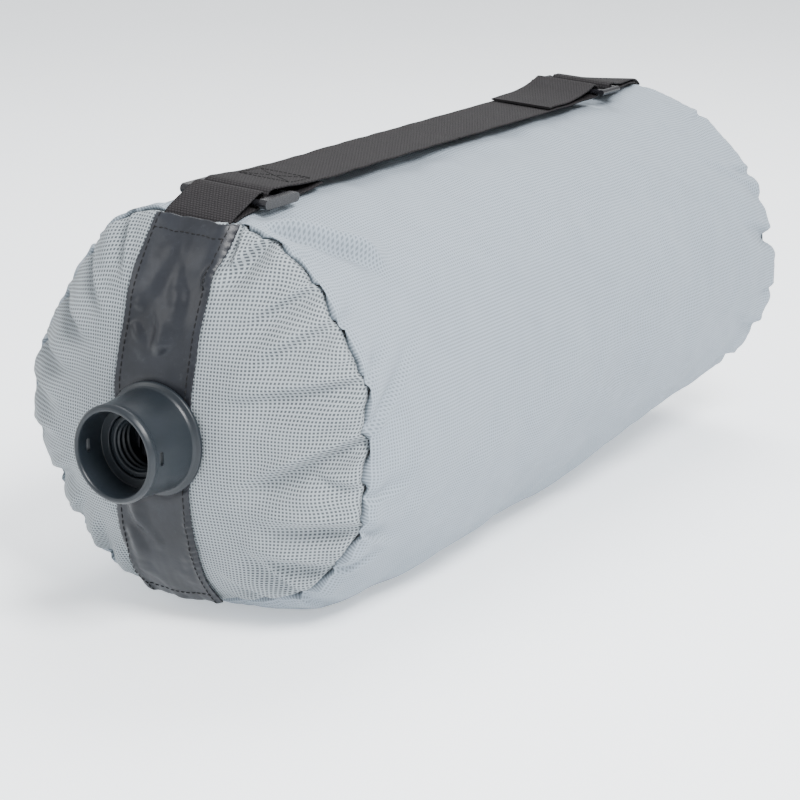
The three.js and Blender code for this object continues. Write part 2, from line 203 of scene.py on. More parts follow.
def mat_webbing(name, base=(0.006, 0.0055, 0.006), lit_crest=(0.020, 0.0185, 0.020), pw=0.0023, pl=0.0019, depth=0.00045):
    """Flat woven tape: u across, v along, in metres. Its colour carries painted shade in the gaps between yarns and
    painted light on the yarn crests.
    """
    a = Mat(name)
    uv, u, v = a.uv()
    pi2 = 2 * math.pi
    row = a.math("FLOOR", a.math("MULTIPLY", v, 1 / pl))
    shift = a.math("MULTIPLY", a.math("MODULO", row, 2.0), 0.5)
    fu = a.math("FRACT", a.math("ADD", a.math("MULTIPLY", u, 1 / pw), shift))
    fv = a.math("FRACT", a.math("MULTIPLY", v, 1 / pl))
    hu = a.math("SINE", a.math("MULTIPLY", fu, math.pi))
    hv = a.math("SINE", a.math("MULTIPLY", fv, math.pi))
    h = a.math("MULTIPLY", a.math("POWER", hu, 0.6), a.math("POWER", hv, 0.5))
    co = a.obj()
    fib = a.noise(1100, 3, 0.7, co, 0.8)
    wear = a.noise(60, 4, 0.6, co)
    # colour follows the yarn relief h: painted shade in the gaps between yarns and painted light on the crests, varied
    # by real random tone from fib and wear
    f = a.math("MULTIPLY", h, a.math("ADD", 0.55, a.math("MULTIPLY", fib, 0.8)))
    f = a.math("MULTIPLY", f, a.math("ADD", 0.75, a.math("MULTIPLY", wear, 0.5)))
    x = a.n("ShaderNodeClamp")
    a.link(f, x.inputs[0])
    a.link(a.mix(x.outputs[0], base, lit_crest), a.b.inputs["Base Color"])
    a.link(a.math("ADD", 0.6, a.math("MULTIPLY", fib, 0.3)), a.b.inputs["Roughness"])
    nrm = a.bump(a.math("ADD", h, a.math("MULTIPLY", fib, 0.25)), depth, 1.0)
    a.link(nrm, a.b.inputs["Normal"])
    a.b.inputs["Specular IOR Level"].default_value = 0.12
    return a.m


def mat_plastic(name, c0, c1, rough=0.34, grain=0.00004, spec=0.5):
    a = Mat(name)
    co = a.obj()
    cl = a.noise(40, 3, 0.5, co)
    fi = a.noise(2600, 2, 0.5, co)
    sc = a.noise(300, 5, 0.8, co, 2.0)
    a.link(a.mix(cl, c0, c1), a.b.inputs["Base Color"])
    a.link(a.math("ADD", rough - 0.06, a.math("MULTIPLY", sc, 0.18)), a.b.inputs["Roughness"])
    nrm = a.bump(fi, grain, 0.6)
    nrm = a.bump(a.noise(90, 2, 0.5, co), 0.0003, 0.3, nrm)
    a.link(nrm, a.b.inputs["Normal"])
    a.b.inputs["Specular IOR Level"].default_value = spec
    return a.m


def mat_metal(name):
    a = Mat(name)
    co = a.obj()
    sc = a.noise(500, 5, 0.8, co, 3.0)
    a.link(a.ramp(a.noise(120, 4, 0.6, co), [(0.3, (0.42, 0.42, 0.43)), (0.7, (0.62, 0.62, 0.63))]), a.b.inputs["Base Color"])
    a.link(a.math("ADD", 0.2, a.math("MULTIPLY", sc, 0.3)), a.b.inputs["Roughness"])
    a.link(a.bump(sc, 0.00005, 0.5), a.b.inputs["Normal"])
    a.b.inputs["Metallic"].default_value = 1.0
    return a.m


def mat_thread(name, c0, c1):
    a = Mat(name)
    co = a.obj()
    w = a.n("ShaderNodeTexWave", bands_direction="DIAGONAL")
    w.inputs["Scale"].default_value = 900
    w.inputs["Distortion"].default_value = 1.5
    a.link(co, w.inputs["Vector"])
    # the twist bands set both colour and bump: painted shade in the grooves of the twist, painted light on its ridges
    a.link(a.mix(w.outputs["Fac"], c0, c1), a.b.inputs["Base Color"])
    a.link(a.bump(w.outputs["Fac"], 0.0001, 0.7), a.b.inputs["Normal"])
    a.b.inputs["Roughness"].default_value = 0.7
    a.b.inputs["Specular IOR Level"].default_value = 0.15
    return a.m


def mat_rubber(name):
    a = Mat(name)
    co = a.obj()
    a.link(a.ramp(a.noise(70, 4, 0.6, co), [(0.3, (0.018, 0.018, 0.018)), (0.7, (0.035, 0.035, 0.036))]), a.b.inputs["Base Color"])
    a.link(a.bump(a.noise(700, 4, 0.7, co), 0.0002, 0.5), a.b.inputs["Normal"])
    a.b.inputs["Roughness"].default_value = 0.75
    return a.m


M_TUBE = mat_nonwoven("nonwoven_tube", (0.252, 0.292, 0.336), (0.125, 0.152, 0.174), depth=0.00018, contrast=0.85)
# the cap copy is darker than the tube copy: partly its pressed squares showing stronger, partly painted shade for the
# cap facing away from the key light
M_CAP = mat_nonwoven("nonwoven_cap", (0.262, 0.292, 0.310), (0.052, 0.060, 0.068), depth=0.0002, contrast=1.0)
M_REAR = mat_nonwoven("nonwoven_rear", (0.29, 0.315, 0.34), (0.11, 0.12, 0.13), depth=0.00016, contrast=0.95)
M_VINYL = mat_vinyl("vinyl_coated_cloth")
# each webbing material's first colour is its yarn gaps with painted shade, the second its yarn crests with painted
# light
M_WEB = mat_webbing("strap_webbing")
M_TAPE = mat_webbing("zipper_tape_twill", (0.10, 0.105, 0.11), (0.22, 0.23, 0.24), 0.0009, 0.0007, 0.00012)
M_BIND = mat_webbing("binding_tape", (0.12, 0.125, 0.13), (0.25, 0.26, 0.27), 0.0010, 0.0009, 0.00015)
M_PLASTIC = mat_plastic("moulded_black", (0.006, 0.0085, 0.011), (0.011, 0.015, 0.020), 0.36, spec=0.35)
M_HARD = mat_plastic("moulded_dark_grey", (0.007, 0.007, 0.008), (0.013, 0.013, 0.016), 0.24, spec=0.3)
M_COIL = mat_plastic("nylon_coil", (0.02, 0.02, 0.021), (0.04, 0.04, 0.042), 0.3)
M_METAL = mat_metal("plated_zinc")
# the two colours of each thread are the painted shade and painted light of its twist bands
M_THREAD_K = mat_thread("thread_black", (0.004, 0.004, 0.004), (0.014, 0.014, 0.015))
M_THREAD_G = mat_thread("thread_grey", (0.12, 0.13, 0.14), (0.27, 0.29, 0.31))
M_RUBBER = mat_rubber("gasket_rubber")


# ------------------------------------------------------------------ mesh helpers
def obj_from(name, verts_mm, faces, mat, uvs=None, smooth=True, shift=True):
    """verts in bag millimetres (own y); uvs per vertex, or per face corner list."""
    v = np.array(verts_mm, float).copy()
    if shift:
        v[:, 1] += SH
    v /= 1000.0
    me = bpy.data.meshes.new(name)
    me.from_pydata(v.tolist(), [], [tuple(int(k) for k in f) for f in faces])
    me.update()
    if uvs is not None:
        lay = me.uv_layers.new(name="UVMap")
        loops = np.zeros(len(me.loops), int)
        me.loops.foreach_get("vertex_index", loops)
        uvs = np.asarray(uvs, float)
        data = uvs[loops] if len(uvs) == len(v) else uvs
        lay.data.foreach_set("uv", data.astype(np.float32).ravel())
    me.materials.append(mat)
    if smooth:
        for p in me.polygons:
            p.use_smooth = True
    o = bpy.data.objects.new(name, me)
    COL.objects.link(o)
    return o


def apply_mods(o):
    dg = bpy.context.evaluated_depsgraph_get()
    me = bpy.data.meshes.new_from_object(o.evaluated_get(dg), depsgraph=dg)
    old = o.data
    o.modifiers.clear()
    o.data = me
    if old.users == 0:
        bpy.data.meshes.remove(old)
    me.name = o.name
    return o


def solidify(o, t, offset=-1.0):
    m = o.modifiers.new("thick", "SOLIDIFY")
    m.thickness = t
    m.offset = offset
    m.use_even_offset = False
    return o


def subsurf(o, k=1):
    m = o.modifiers.new("sub", "SUBSURF")
    m.levels = k
    m.render_levels = k
    m.uv_smooth = "NONE"
    return o


def smooth01(x, a, b):
    t = np.clip((np.asarray(x, float) - a) / (b - a), 0, 1)
    return t * t * (3 - 2 * t)


def vnoise(*coords, scale=1.0, seed=0, octaves=3):
    """Cheap smooth noise: a sum of fixed random waves."""
    g = np.random.default_rng(seed)
    out = 0.0
    amp = 1.0
    for o in range(octaves):
        for _ in range(4):
            k = g.normal(size=len(coords))
            k *= (2 ** o) / scale / max(1e-9, np.linalg.norm(k))
            out = out + amp * np.sin(sum(c * q for c, q in zip(coords, k)) * 2 * math.pi + g.uniform(0, 6.28))
        amp *= 0.5
    return out / 4.0


def lathe(name, prof, mat, segs=96, cx=0.0, cz=AZ, wob=0.0):
    """prof: closed [(r, y)] in bag mm, axis Y."""
    prof = np.array(prof, float)
    th = np.arange(segs) / segs * 2 * math.pi
    V = []
    for r, y in prof:
        V.append(np.stack([cx + r * np.sin(th), np.full(segs, y), cz + r * np.cos(th)], 1))
    V = np.concatenate(V)
    n = len(prof)
    F = []
    for j in range(n):
        k = (j + 1) % n
        for i in range(segs):
            F.append((j * segs + i, j * segs + (i + 1) % segs, k * segs + (i + 1) % segs, k * segs + i))
    o = obj_from(name, V, F, mat)
    bm = bmesh.new()
    bm.from_mesh(o.data)
    bmesh.ops.recalc_face_normals(bm, faces=bm.faces)
    bm.to_mesh(o.data)
    bm.free()
    o.data.set_sharp_from_angle(angle=math.radians(32))
    return o


def rounded(prof, r=0.5, steps=3):
    """Rounds the corners of a closed polyline."""
    P = [np.array(p, float) for p in prof]
    out = []
    for k in range(len(P)):
        a, b, c = P[k - 1], P[k], P[(k + 1) % len(P)]
        d1, d2 = a - b, c - b
        l1, l2 = np.linalg.norm(d1), np.linalg.norm(d2)
        q = min(r, l1 * 0.45, l2 * 0.45)
        p1, p2 = b + d1 / l1 * q, b + d2 / l2 * q
        for s in range(steps + 1):
            t = s / steps
            out.append((1 - t) ** 2 * p1 + 2 * t * (1 - t) * b + t * t * p2)
    return out


def capsules(name, segs, radius, mat, sides=6):
    """One mesh of thread stitches, each a bowed capsule. segs: (start, end, normal) in bag mm."""
    V, F = [], []
    for a, b, nrm in segs:
        a, b, nrm = np.array(a, float), np.array(b, float), np.array(nrm, float)
        d = b - a
        L = np.linalg.norm(d)
        if L < 1e-6:
            continue
        d /= L
        nrm = nrm - d * (nrm @ d)
        nrm /= max(1e-9, np.linalg.norm(nrm))
        s = np.cross(d, nrm)
        base = len(V)
        rings = [(-0.02, 0.25, -0.5), (0.08, 0.85, -0.1), (0.5, 1.0, 0.25), (0.92, 0.85, -0.1), (1.02, 0.25, -0.5)]
        for t, rr, up in rings:
            c = a + d * L * t + nrm * radius * up
            for k in range(sides):
                q = 2 * math.pi * k / sides
                V.append(c + (nrm * math.cos(q) + s * math.sin(q)) * radius * rr)
        for j in range(len(rings) - 1):
            for k in range(sides):
                F.append((base + j * sides + k, base + j * sides + (k + 1) % sides, base + (j + 1) * sides + (k + 1) % sides, base + (j + 1) * sides + k))
        F.append(tuple(base + k for k in range(sides))[::-1])
        F.append(tuple(base + (len(rings) - 1) * sides + k for k in range(sides)))
    o = obj_from(name, np.array(V), F, mat)
    bm = bmesh.new()
    bm.from_mesh(o.data)
    bmesh.ops.recalc_face_normals(bm, faces=bm.faces)
    bm.to_mesh(o.data)
    bm.free()
    return o


def stitch_row(path, normals, length=2.6, gap=1.0, lift=0.25):
    """Splits a polyline into stitches."""
    path = np.array(path, float)
    nr = np.array(normals, float)
    seg = np.linalg.norm(np.diff(path, axis=0), axis=1)
    s = np.concatenate([[0], np.cumsum(seg)])
    total = s[-1]
    out = []
    t = gap
    at = lambda q: np.array([np.interp(q, s, path[:, k]) for k in range(3)])
    an = lambda q: np.array([np.interp(q, s, nr[:, k]) for k in range(3)])
    while t + length < total:
        n = an(t + length / 2)
        n = n / max(1e-9, np.linalg.norm(n))
        out.append((at(t) + n * lift, at(t + length) + n * lift, n))
        t += length + gap
    return out


# ------------------------------------------------------------------ the stuffed bag
R_CAP_ROWS = np.concatenate([[24, 32, 40], np.linspace(47, 116, 16), [119.5, 123, 126, 128.6, 130.8, 132.5, 133.8, 134.8]])
Y_TUBE_ROWS = np.concatenate([[-284.0, -282.6, -280.6, -278, -275, -271.5, -267.5, -263], np.linspace(-258, -206, 12), np.linspace(-197, 225, 46), np.linspace(231, 262, 7), [267, 271.5, 275, 278, 280.6, 282.8, 284.2, 285.0]])
NC = len(R_CAP_ROWS)
NT = len(Y_TUBE_ROWS)
TH = np.arange(N) / N * 2 * math.pi


def simulate_bag():
    """Cut pattern of cap and tube, blown up with Blender's cloth solver."""
    R0, D0 = 134.8, 30.0
    RS = (R0 ** 2 + D0 ** 2) / (2 * D0)
    C0 = -285 - D0 + RS
    rows = []
    for r in R_CAP_ROWS:
        rows.append(np.stack([r * np.sin(TH), np.full(N, C0 - math.sqrt(RS * RS - r * r)), r * np.cos(TH)], 1))
    for y in Y_TUBE_ROWS:
        R = 134.8 + 6.2 * min(1.0, (y + 285) / 540)
        rows.append(np.stack([R * np.sin(TH), np.full(N, y), R * np.cos(TH)], 1))
    V = np.concatenate(rows)
    nr = len(rows)
    # sewing puckers: tiny pull-in along the seam starts the buckles
    seam = (NC - 1) * N
    pk = vnoise(np.cos(TH) * 5, np.sin(TH) * 5, scale=1.0, seed=5, octaves=3)
    for j in (-3, -2, -1, 0, 1, 2, 3):
        sl = slice(seam + j * N, seam + (j + 1) * N)
        k = 1 + 0.006 * pk * (1 - abs(j) / 4)
        V[sl, 0] *= k
        V[sl, 2] *= k
    F = [(j * N + i, j * N + (i + 1) % N, (j + 1) * N + (i + 1) % N, (j + 1) * N + i) for j in range(nr - 1) for i in range(N)]
    S = 10.0
    me = bpy.data.meshes.new("sim")
    me.from_pydata((V / 1000 * S).tolist(), [], F)
    me.update()
    ob = bpy.data.objects.new("sim", me)
    COL.objects.link(ob)
    vg = ob.vertex_groups.new(name="pin")
    vg.add(list(range(0, 3 * N)) + list(range((nr - 1) * N, nr * N)), 1.0, "REPLACE")
    ob.shape_key_add(name="Basis")
    key = ob.shape_key_add(name="go")
    co = V.copy()
    co[:3 * N, 1] = FLAT_Y
    ring = slice((nr - 1) * N, nr * N)
    sc = 1 + 0.010 * vnoise(np.cos(TH) * 6, np.sin(TH) * 6, scale=1.0, seed=9, octaves=3)
    co[ring, 0] *= sc * 137.5 / 141
    co[ring, 2] *= sc * 137.5 / 141
    key.data.foreach_set("co", (co / 1000 * S).ravel())
    frames = 22
    key.value = 0
    key.keyframe_insert("value", frame=1)
    key.value = 1
    key.keyframe_insert("value", frame=11)
    md = ob.modifiers.new("Cloth", "CLOTH")
    cs = md.settings
    cs.quality = 6
    cs.mass = 0.3
    cs.air_damping = 1.0
    cs.bending_model = "ANGULAR"
    cs.tension_stiffness = 40
    cs.compression_stiffness = 40
    cs.shear_stiffness = 10
    cs.bending_stiffness = 0.04
    cs.tension_damping = cs.compression_damping = cs.shear_damping = 5
    cs.bending_damping = 0.5
    cs.use_pressure = True
    cs.uniform_pressure_force = 6.0
    cs.vertex_group_mass = "pin"
    cs.effector_weights.gravity = 0
    md.point_cache.frame_start = 1
    md.point_cache.frame_end = frames
    scene.frame_start, scene.frame_end = 1, frames
    for f in range(1, frames + 1):
        scene.frame_set(f)
    dg = bpy.context.evaluated_depsgraph_get()
    m = ob.evaluated_get(dg).to_mesh()
    out = np.zeros(len(m.vertices) * 3)
    m.vertices.foreach_get("co", out)
    out = out.reshape(-1, 3) / S * 1000
    ob.evaluated_get(dg).to_mesh_clear()
    act = me.shape_keys.animation_data.action if me.shape_keys and me.shape_keys.animation_data else None
    bpy.data.objects.remove(ob)
    bpy.data.meshes.remove(me)
    if act:
        bpy.data.actions.remove(act)
    scene.frame_set(1)
    return out.reshape(nr, N, 3)


# outline of the front rim, as radius over angle from the top (towards +X), about the axis
RIM_XZ = [(1.5, 133.0), (40, 131.0), (57.8, 125), (75.2, 117), (94.4, 99.8), (109, 75.3), (124.3, 52.7), (129.1, 41.7), (127.9, 9.8), (126.2, -27.7),
          (123.9, -51.7), (104.3, -77.9), (81.3, -100.2), (58, -107), (26.8, -114.0), (1, -119.0), (-31.2, 134.5), (-57.2, 124.9), (-77.1, 104.2),
          (-98.1, 74.5), (-120.5, 40.7), (-132.8, 11), (-131.5, -19.6), (-115.6, -52.4), (-99.2, -80.1), (-77.4, -104.1), (-40, -116)]


def periodic(angles, values, soft=2.0):
    a = np.array(angles)
    v = np.array(values)
    o = np.argsort(a)
    a, v = a[o], v[o]
    a = np.concatenate([a - 360, a, a + 360])
    v = np.concatenate([v, v, v])
    grid = np.arange(0, 360, 0.5)
    g = np.interp(grid, a, v)
    if soft > 0:
        k = np.exp(-0.5 * (np.arange(-24, 25) * 0.5 / soft) ** 2)
        k /= k.sum()
        g = np.convolve(np.concatenate([g[-24:], g, g[:24]]), k, "valid")
    return lambda deg: np.interp(np.mod(deg, 360), np.append(grid, 360), np.append(g, g[0]))


RIM_F = periodic([math.degrees(math.atan2(x, z)) % 360 for x, z in RIM_XZ], [math.hypot(x, z) for x, z in RIM_XZ], 1.8)



def midpoints(A, wrap):
    """Doubles an array along its first axis with the four-point rule (plain halves at open ends)."""
    n = A.shape[0]
    if wrap:
        m = (9 * (A + np.roll(A, -1, 0)) - np.roll(A, 1, 0) - np.roll(A, -2, 0)) / 16
        out = np.empty((2 * n,) + A.shape[1:])
        out[0::2], out[1::2] = A, m
        return out
    m = (A[:-1] + A[1:]) / 2
    if n > 3:
        m[1:-1] = (9 * (A[1:-2] + A[2:-1]) - A[:-3] - A[3:]) / 16
    out = np.empty((2 * n - 1,) + A.shape[1:])
    out[0::2], out[1::2] = A, m
    return out


def halves(p):
    p = np.asarray(p, float)
    out = np.empty(2 * len(p) - 1)
    out[0::2], out[1::2] = p, (p[:-1] + p[1:]) / 2
    return out


Q0 = simulate_bag()                      # rows x N x 3, axis-relative x, z; bag y
capq = midpoints(Q0[:NC], False)
tubq = midpoints(Q0[NC - 1:], False)
Q = np.concatenate([capq, tubq[1:]])
Q = np.swapaxes(midpoints(np.swapaxes(Q, 0, 1), True), 0, 1).copy()
KW = 16
kern = np.exp(-0.5 * (np.arange(-KW, KW + 1) / 6.0) ** 2)
kern /= kern.sum()
Qs = np.zeros_like(Q)
for k in range(-KW, KW + 1):
    Qs += kern[k + KW] * np.roll(Q, k, 1)
Q[:, :, 1] = 0.30 * Q[:, :, 1] + 0.70 * Qs[:, :, 1]
ra, rb = np.hypot(Q[:, :, 0], Q[:, :, 2]), np.hypot(Qs[:, :, 0], Qs[:, :, 2])
rb *= (ra.mean(1) / rb.mean(1))[:, None]
kk = (0.30 * ra + 0.70 * rb) / ra
Q[:, :, 0] *= kk
Q[:, :, 2] *= kk
R_CAP_ROWS = halves(R_CAP_ROWS)
Y_TUBE_ROWS = halves(np.concatenate([[-285.0], Y_TUBE_ROWS]))[1:]
NC, NT, N = len(R_CAP_ROWS), len(Y_TUBE_ROWS), 2 * N
TH = np.arange(N) / N * 2 * math.pi
DEG = np.degrees(TH)
ABSD = np.abs((DEG + 180) % 360 - 180)


def tube_target(y):
    base = np.interp(y, [-285, -262, -230, -130, 0, 130, 240, 262, 275, 285], [133, 135.5, 136.5, 138, 139.5, 141, 141.5, 141.2, 140, 137.5])
    low = np.exp(-((ABSD - 137) / 24.0) ** 2) * 8.0 * (1 - smooth01(y, -200, 30))
    t = np.clip((ABSD - 92) / 88.0, 0, 1)
    lift = 44 * t ** 1.15 * smooth01(y, -10, 300)
    return base + low - lift


def zbottom(y):
    return float(np.interp(y, [-285, -250, 60, 130, 200, 262, 285], [8, 0.0, 0.0, 4, 9, 16, 22]))


def softfloor(z, zb, k=3.0):
    d = z - zb
    return np.where(d > 4 * k, z, zb + k * np.log1p(np.exp(np.clip(d / k, -30, 30))) * (1.0))


def seg_dist(x, z, a, b):
    a, b = np.array(a, float), np.array(b, float)
    d = b - a
    L2 = d @ d
    t = np.clip(((x - a[0]) * d[0] + (z - a[1]) * d[1]) / L2, 0, 1)
    px, pz = a[0] + t * d[0], a[1] + t * d[1]
    side = np.sign((x - a[0]) * d[1] - (z - a[1]) * d[0])
    return np.hypot(x - px, z - pz) * side, t


# folds of the front cap in (x, z above axis): from the rim inwards, depth, half width
CAP_FOLDS = [
    ((130, 8), (46, -36), 7.0, 7.5), ((131, 44), (40, 22), 4.4, 8.5), ((113, 79), (56, 40), 3.6, 8.0), ((98, 99), (52, 66), 4.2, 6.5),
    ((62, 124), (36, 88), 5.2, 6.5), ((40, 131), (44, 96), 4.2, 5.0), ((125, -49), (60, -50), 5.6, 8.0), ((105, -78), (52, -70), 4.6, 6.5), ((82, -101), (50, -62), 5.4, 7.5),
    ((60, -109), (28, -86), 3.6, 5.0), ((128, -24), (92, -12), 2.8, 5.5), ((-40, -114), (-34, -68), 4.6, 6.5), ((-78, -103), (-46, -60), 5.0, 8.0),
    ((-99, -80), (-60, -50), 3.6, 6.5), ((-117, -52), (-66, -34), 5.0, 8.0), ((-131, -20), (-78, -16), 3.0, 7.0), ((-133, 12), (-74, 4), 4.0, 8.0),
    ((-121, 41), (-66, 26), 4.6, 8.0), ((-98, 75), (-52, 44), 5.4, 8.0), ((-77, 104), (-42, 62), 4.2, 7.0), ((-46, 128), (-36, 86), 4.4, 6.5),
]


def crease(d, w, up):
    """A pulled fold: one steep side, one long gentle side."""
    s = d * up
    wn, ww = 0.55 * w, 1.35 * w
    f = np.where(s > 0, np.exp(-(s / wn) ** 2), np.exp(-(s / ww) ** 2))
    return f - 0.42 * np.exp(-((s - 1.5 * wn) / (1.1 * wn)) ** 2) - 0.30 * np.exp(-((s + 1.9 * ww) / ww) ** 2)


# folds of the tube near its front end: (degrees, y) to (degrees, y), depth, half width in mm
TUBE_FOLDS = [
    ((84, -285), (58, -200), 4.5, 6.0), ((72, -285), (60, -240), 2.6, 5.0), ((18, -280), (46, -208), -10.0, 8.0), ((34, -285), (40, -250), 2.2, 4.0),
    ((56, -285), (50, -255), 2.4, 4.5), ((104, -285), (100, -235), 3.0, 5.5), ((113, -285), (122, -228), 3.4, 5.5), ((128, -285), (120, -245), 3.0, 5.0),
    ((142, -285), (150, -238), 3.6, 6.0), ((-37, -285), (-44, -235), 3.0, 5.0), ((-54, -285), (-50, -230), 3.6, 6.0), ((-73, -285), (-66, -240), 2.8, 5.0),
    ((-98, -285), (-92, -235), 3.0, 5.0), ((-115, -285), (-118, -225), 3.6, 6.0), ((-130, -285), (-126, -245), 2.6, 4.5), ((-143, -285), (-150, -235), 3.2, 5.5),
    ((78, 285), (70, 215), 4.5, 6.5), ((56, 285), (52, 235), 2.6, 5.0), ((66, 285), (40, 190), 2.4, 7.0), ((95, 285), (96, 240), 2.6, 5.0), ((110, 285), (98, 190), 3.2, 8.0),
    ((125, 285), (118, 225), 3.0, 6.0), ((30, 285), (34, 245), 2.4, 4.5), ((-30, 285), (-36, 240), 2.6, 5.0), ((-55, 285), (-50, 225), 3.0, 6.0), ((-78, 285), (-72, 215), 4.5, 6.5),
    ((-100, 285), (-102, 235), 2.8, 5.0), ((-122, 285), (-115, 225), 3.0, 6.0), ((-145, 285), (-140, 240), 2.8, 5.0), ((150, 285), (146, 240), 2.8, 5.0),
    ((24, 60), (10, -110), 1.2, 14.0), ((88, -60), (112, 110), 1.6, 22.0), ((52, 150), (98, 30), -1.4, 18.0), ((-60, 120), (-100, -60), 1.6, 20.0),
]

rowr = np.hypot(Q[:, :, 0], Q[:, :, 2])
rim_j = NC - 1
rim_y = Q[rim_j, :, 1].mean()
rim_mean = rowr[rim_j].mean()
rimT = RIM_F(DEG)
for j in range(Q.shape[0]):
    r = rowr[j]
    if j <= rim_j:
        w = smooth01(R_CAP_ROWS[j], 44, 134.8) ** 1.3
        scale = 1 + (rimT / rim_mean - 1) * w
        Q[j, :, 0] *= scale
        Q[j, :, 2] *= scale
        Q[j, :, 1] += (-285 - rim_y) * smooth01(R_CAP_ROWS[j], 40, 134.8)
    else:
        y0 = Y_TUBE_ROWS[j - NC]
        target = tube_target(y0)
        k = math.exp(-max(0.0, y0 + 285) / 16.0)
        mean = r.mean()
        want = target * (1 - k) + rimT * k
        scale = want / mean
        Q[j, :, 0] *= scale
        Q[j, :, 2] *= scale
        Q[j, :, 1] += (-285 - rim_y) * math.exp(-(y0 + 285) / 30.0)

# seam groove at both rims, gathered with many small puckers that fade away from the seam
gath = 0.62 * vnoise(np.cos(TH) * 5, np.sin(TH) * 5, scale=1.0, seed=21, octaves=3)
gath2 = 0.62 * vnoise(np.cos(TH) * 5, np.sin(TH) * 5, scale=1.0, seed=33, octaves=3)
for j in range(Q.shape[0]):
    r = np.hypot(Q[j, :, 0], Q[j, :, 2])
    dr = np.zeros(N)
    dy = np.zeros(N)
    if j <= rim_j:
        s = (134.8 - R_CAP_ROWS[j])
        dr -= 3.2 * math.exp(-(s / 1.7) ** 2)
        dy += 2.4 * math.exp(-(s / 1.7) ** 2)
        dy -= (1.5 + 1.1 * gath) * math.exp(-((s - 6) / 5.5) ** 2) + 0.8 * gath2 * math.exp(-(s / 26.0) ** 2)
        dr += 1.0 * gath * math.exp(-((s - 5) / 6.0) ** 2)
    else:
        y0 = Y_TUBE_ROWS[j - NC]
        s = y0 + 285
        dr += (2.0 + 1.4 * gath2) * math.exp(-((s - 7) / 6.5) ** 2) + 0.9 * gath * math.exp(-(s / 30.0) ** 2)
        e = 285 - y0
        dr += -2.6 * math.exp(-(e / 1.6) ** 2) + (1.8 + 1.5 * gath) * math.exp(-((e - 7) / 6.5) ** 2) + 1.0 * gath2 * math.exp(-(e / 34.0) ** 2)
        notch = np.exp(-((ABSD - 78.5) / 2.6) ** 2)
        dr -= 9.5 * notch * math.exp(-(e / 14.0) ** 1.0) if e < 70 else 0
    k = (r + dr) / r
    Q[j, :, 0] *= k
    Q[j, :, 2] *= k
    Q[j, :, 1] += dy

# larger folds
for j in range(Q.shape[0]):
    x, z = Q[j, :, 0], Q[j, :, 2]
    if j <= rim_j:
        if R_CAP_ROWS[j] < 44:
            continue
        Q[j, :, 1] += smooth01(R_CAP_ROWS[j], 48, 78) * (1 - smooth01(R_CAP_ROWS[j], 108, 131)) * (3.4 * vnoise(x, z, scale=95.0, seed=61, octaves=2) + 0.7 * vnoise(x, z, scale=34.0, seed=62, octaves=2))
        for a, b, dep, wid in CAP_FOLDS:
            d, t = seg_dist(x, z, a, b)
            env = (1 - smooth01(t, 0.35, 1.0)) * smooth01(R_CAP_ROWS[j], 44, 60)
            wd = wid * (0.75 + 0.45 * t)
            up = 1.0 if -(b[0] - a[0]) + 0.35 * (b[1] - a[1]) > 0 else -1.0
            Q[j, :, 1] += 1.45 * env * dep * crease(d, wd, up)
    else:
        y0 = Y_TUBE_ROWS[j - NC]
        r = np.hypot(x, z)
        dr = np.zeros(N)
        arcmm = ((DEG + 180) % 360 - 180) * math.pi / 180 * 138
        for a, b, dep, wid in TUBE_FOLDS:
            d, t = seg_dist(arcmm, np.full(N, y0), (math.radians(a[0]) * 138, a[1]), (math.radians(b[0]) * 138, b[1]))
            env = 1 - smooth01(t, 0.25, 1.0) if abs(a[1]) > 280 else smooth01(t, 0, 0.3) * (1 - smooth01(t, 0.7, 1.0))
            wd = wid * (0.7 + 0.7 * t)
            dr -= env * dep * crease(d, wd, 1.0 if a[0] > 0 else -1.0)
        mid = smooth01(y0, -285, -240) * (1 - smooth01(y0, 240, 285))
        dr += mid * (2.4 * vnoise(arcmm, np.full(N, y0), scale=130.0, seed=3, octaves=3) + 0.7 * vnoise(arcmm, np.full(N, y0), scale=44.0, seed=4, octaves=2))
        k = (r + dr) / r
        Q[j, :, 0] *= k
        Q[j, :, 2] *= k

BAG = Q.copy()
BAG[:, :, 2] += AZ
for j in range(BAG.shape[0]):
    y = BAG[j, :, 1].mean()
    BAG[j, :, 2] = softfloor(BAG[j, :, 2], zbottom(y))
# the cloth is held down beneath the webbing and its hardware
WY = [-291, -286, -281, -277, -271, -262, -232, -215, -192, -150, 140, 170, 198, 235, 262, 271, 279, 286]
WZ = [258.4, 258.6, 259.4, 260.4, 262.2, 263.2, 263.4, 264.9, 267.6, 270.5, 272.5, 273.2, 274.0, 271.4, 269.2, 268.6, 266.8, 263.4]
twist = lambda y: np.interp(y, [202, 285], [4.0, -4.4])
for j in range(rim_j - 3, BAG.shape[0]):
    yj = BAG[j, :, 1]
    a_ = np.radians(twist(yj))
    dx, dz = BAG[j, :, 0], BAG[j, :, 2] - AZ
    ux, uz = dx * np.cos(a_) - dz * np.sin(a_), dx * np.sin(a_) + dz * np.cos(a_)
    lim = np.interp(yj, WY, WZ) - AZ
    w_ = (1 - smooth01(np.abs(ux), 26, 37)) * (uz > 0)
    uz2 = np.where(uz > lim, uz * (1 - w_) + lim * w_, uz)
    BAG[j, :, 0] = ux * np.cos(a_) + uz2 * np.sin(a_)
    BAG[j, :, 2] = -ux * np.sin(a_) + uz2 * np.cos(a_) + AZ
# keep the clamp area of the connector exactly flat
BAG[:5, :, 1] = FLAT_Y


def grid_faces(nr, n, wrap=True):
    F = []
    for j in range(nr - 1):
        for i in range(n if wrap else n - 1):
            k = (i + 1) % n
            F.append((j * n + i, j * n + k, (j + 1) * n + k, (j + 1) * n + i))
    return F


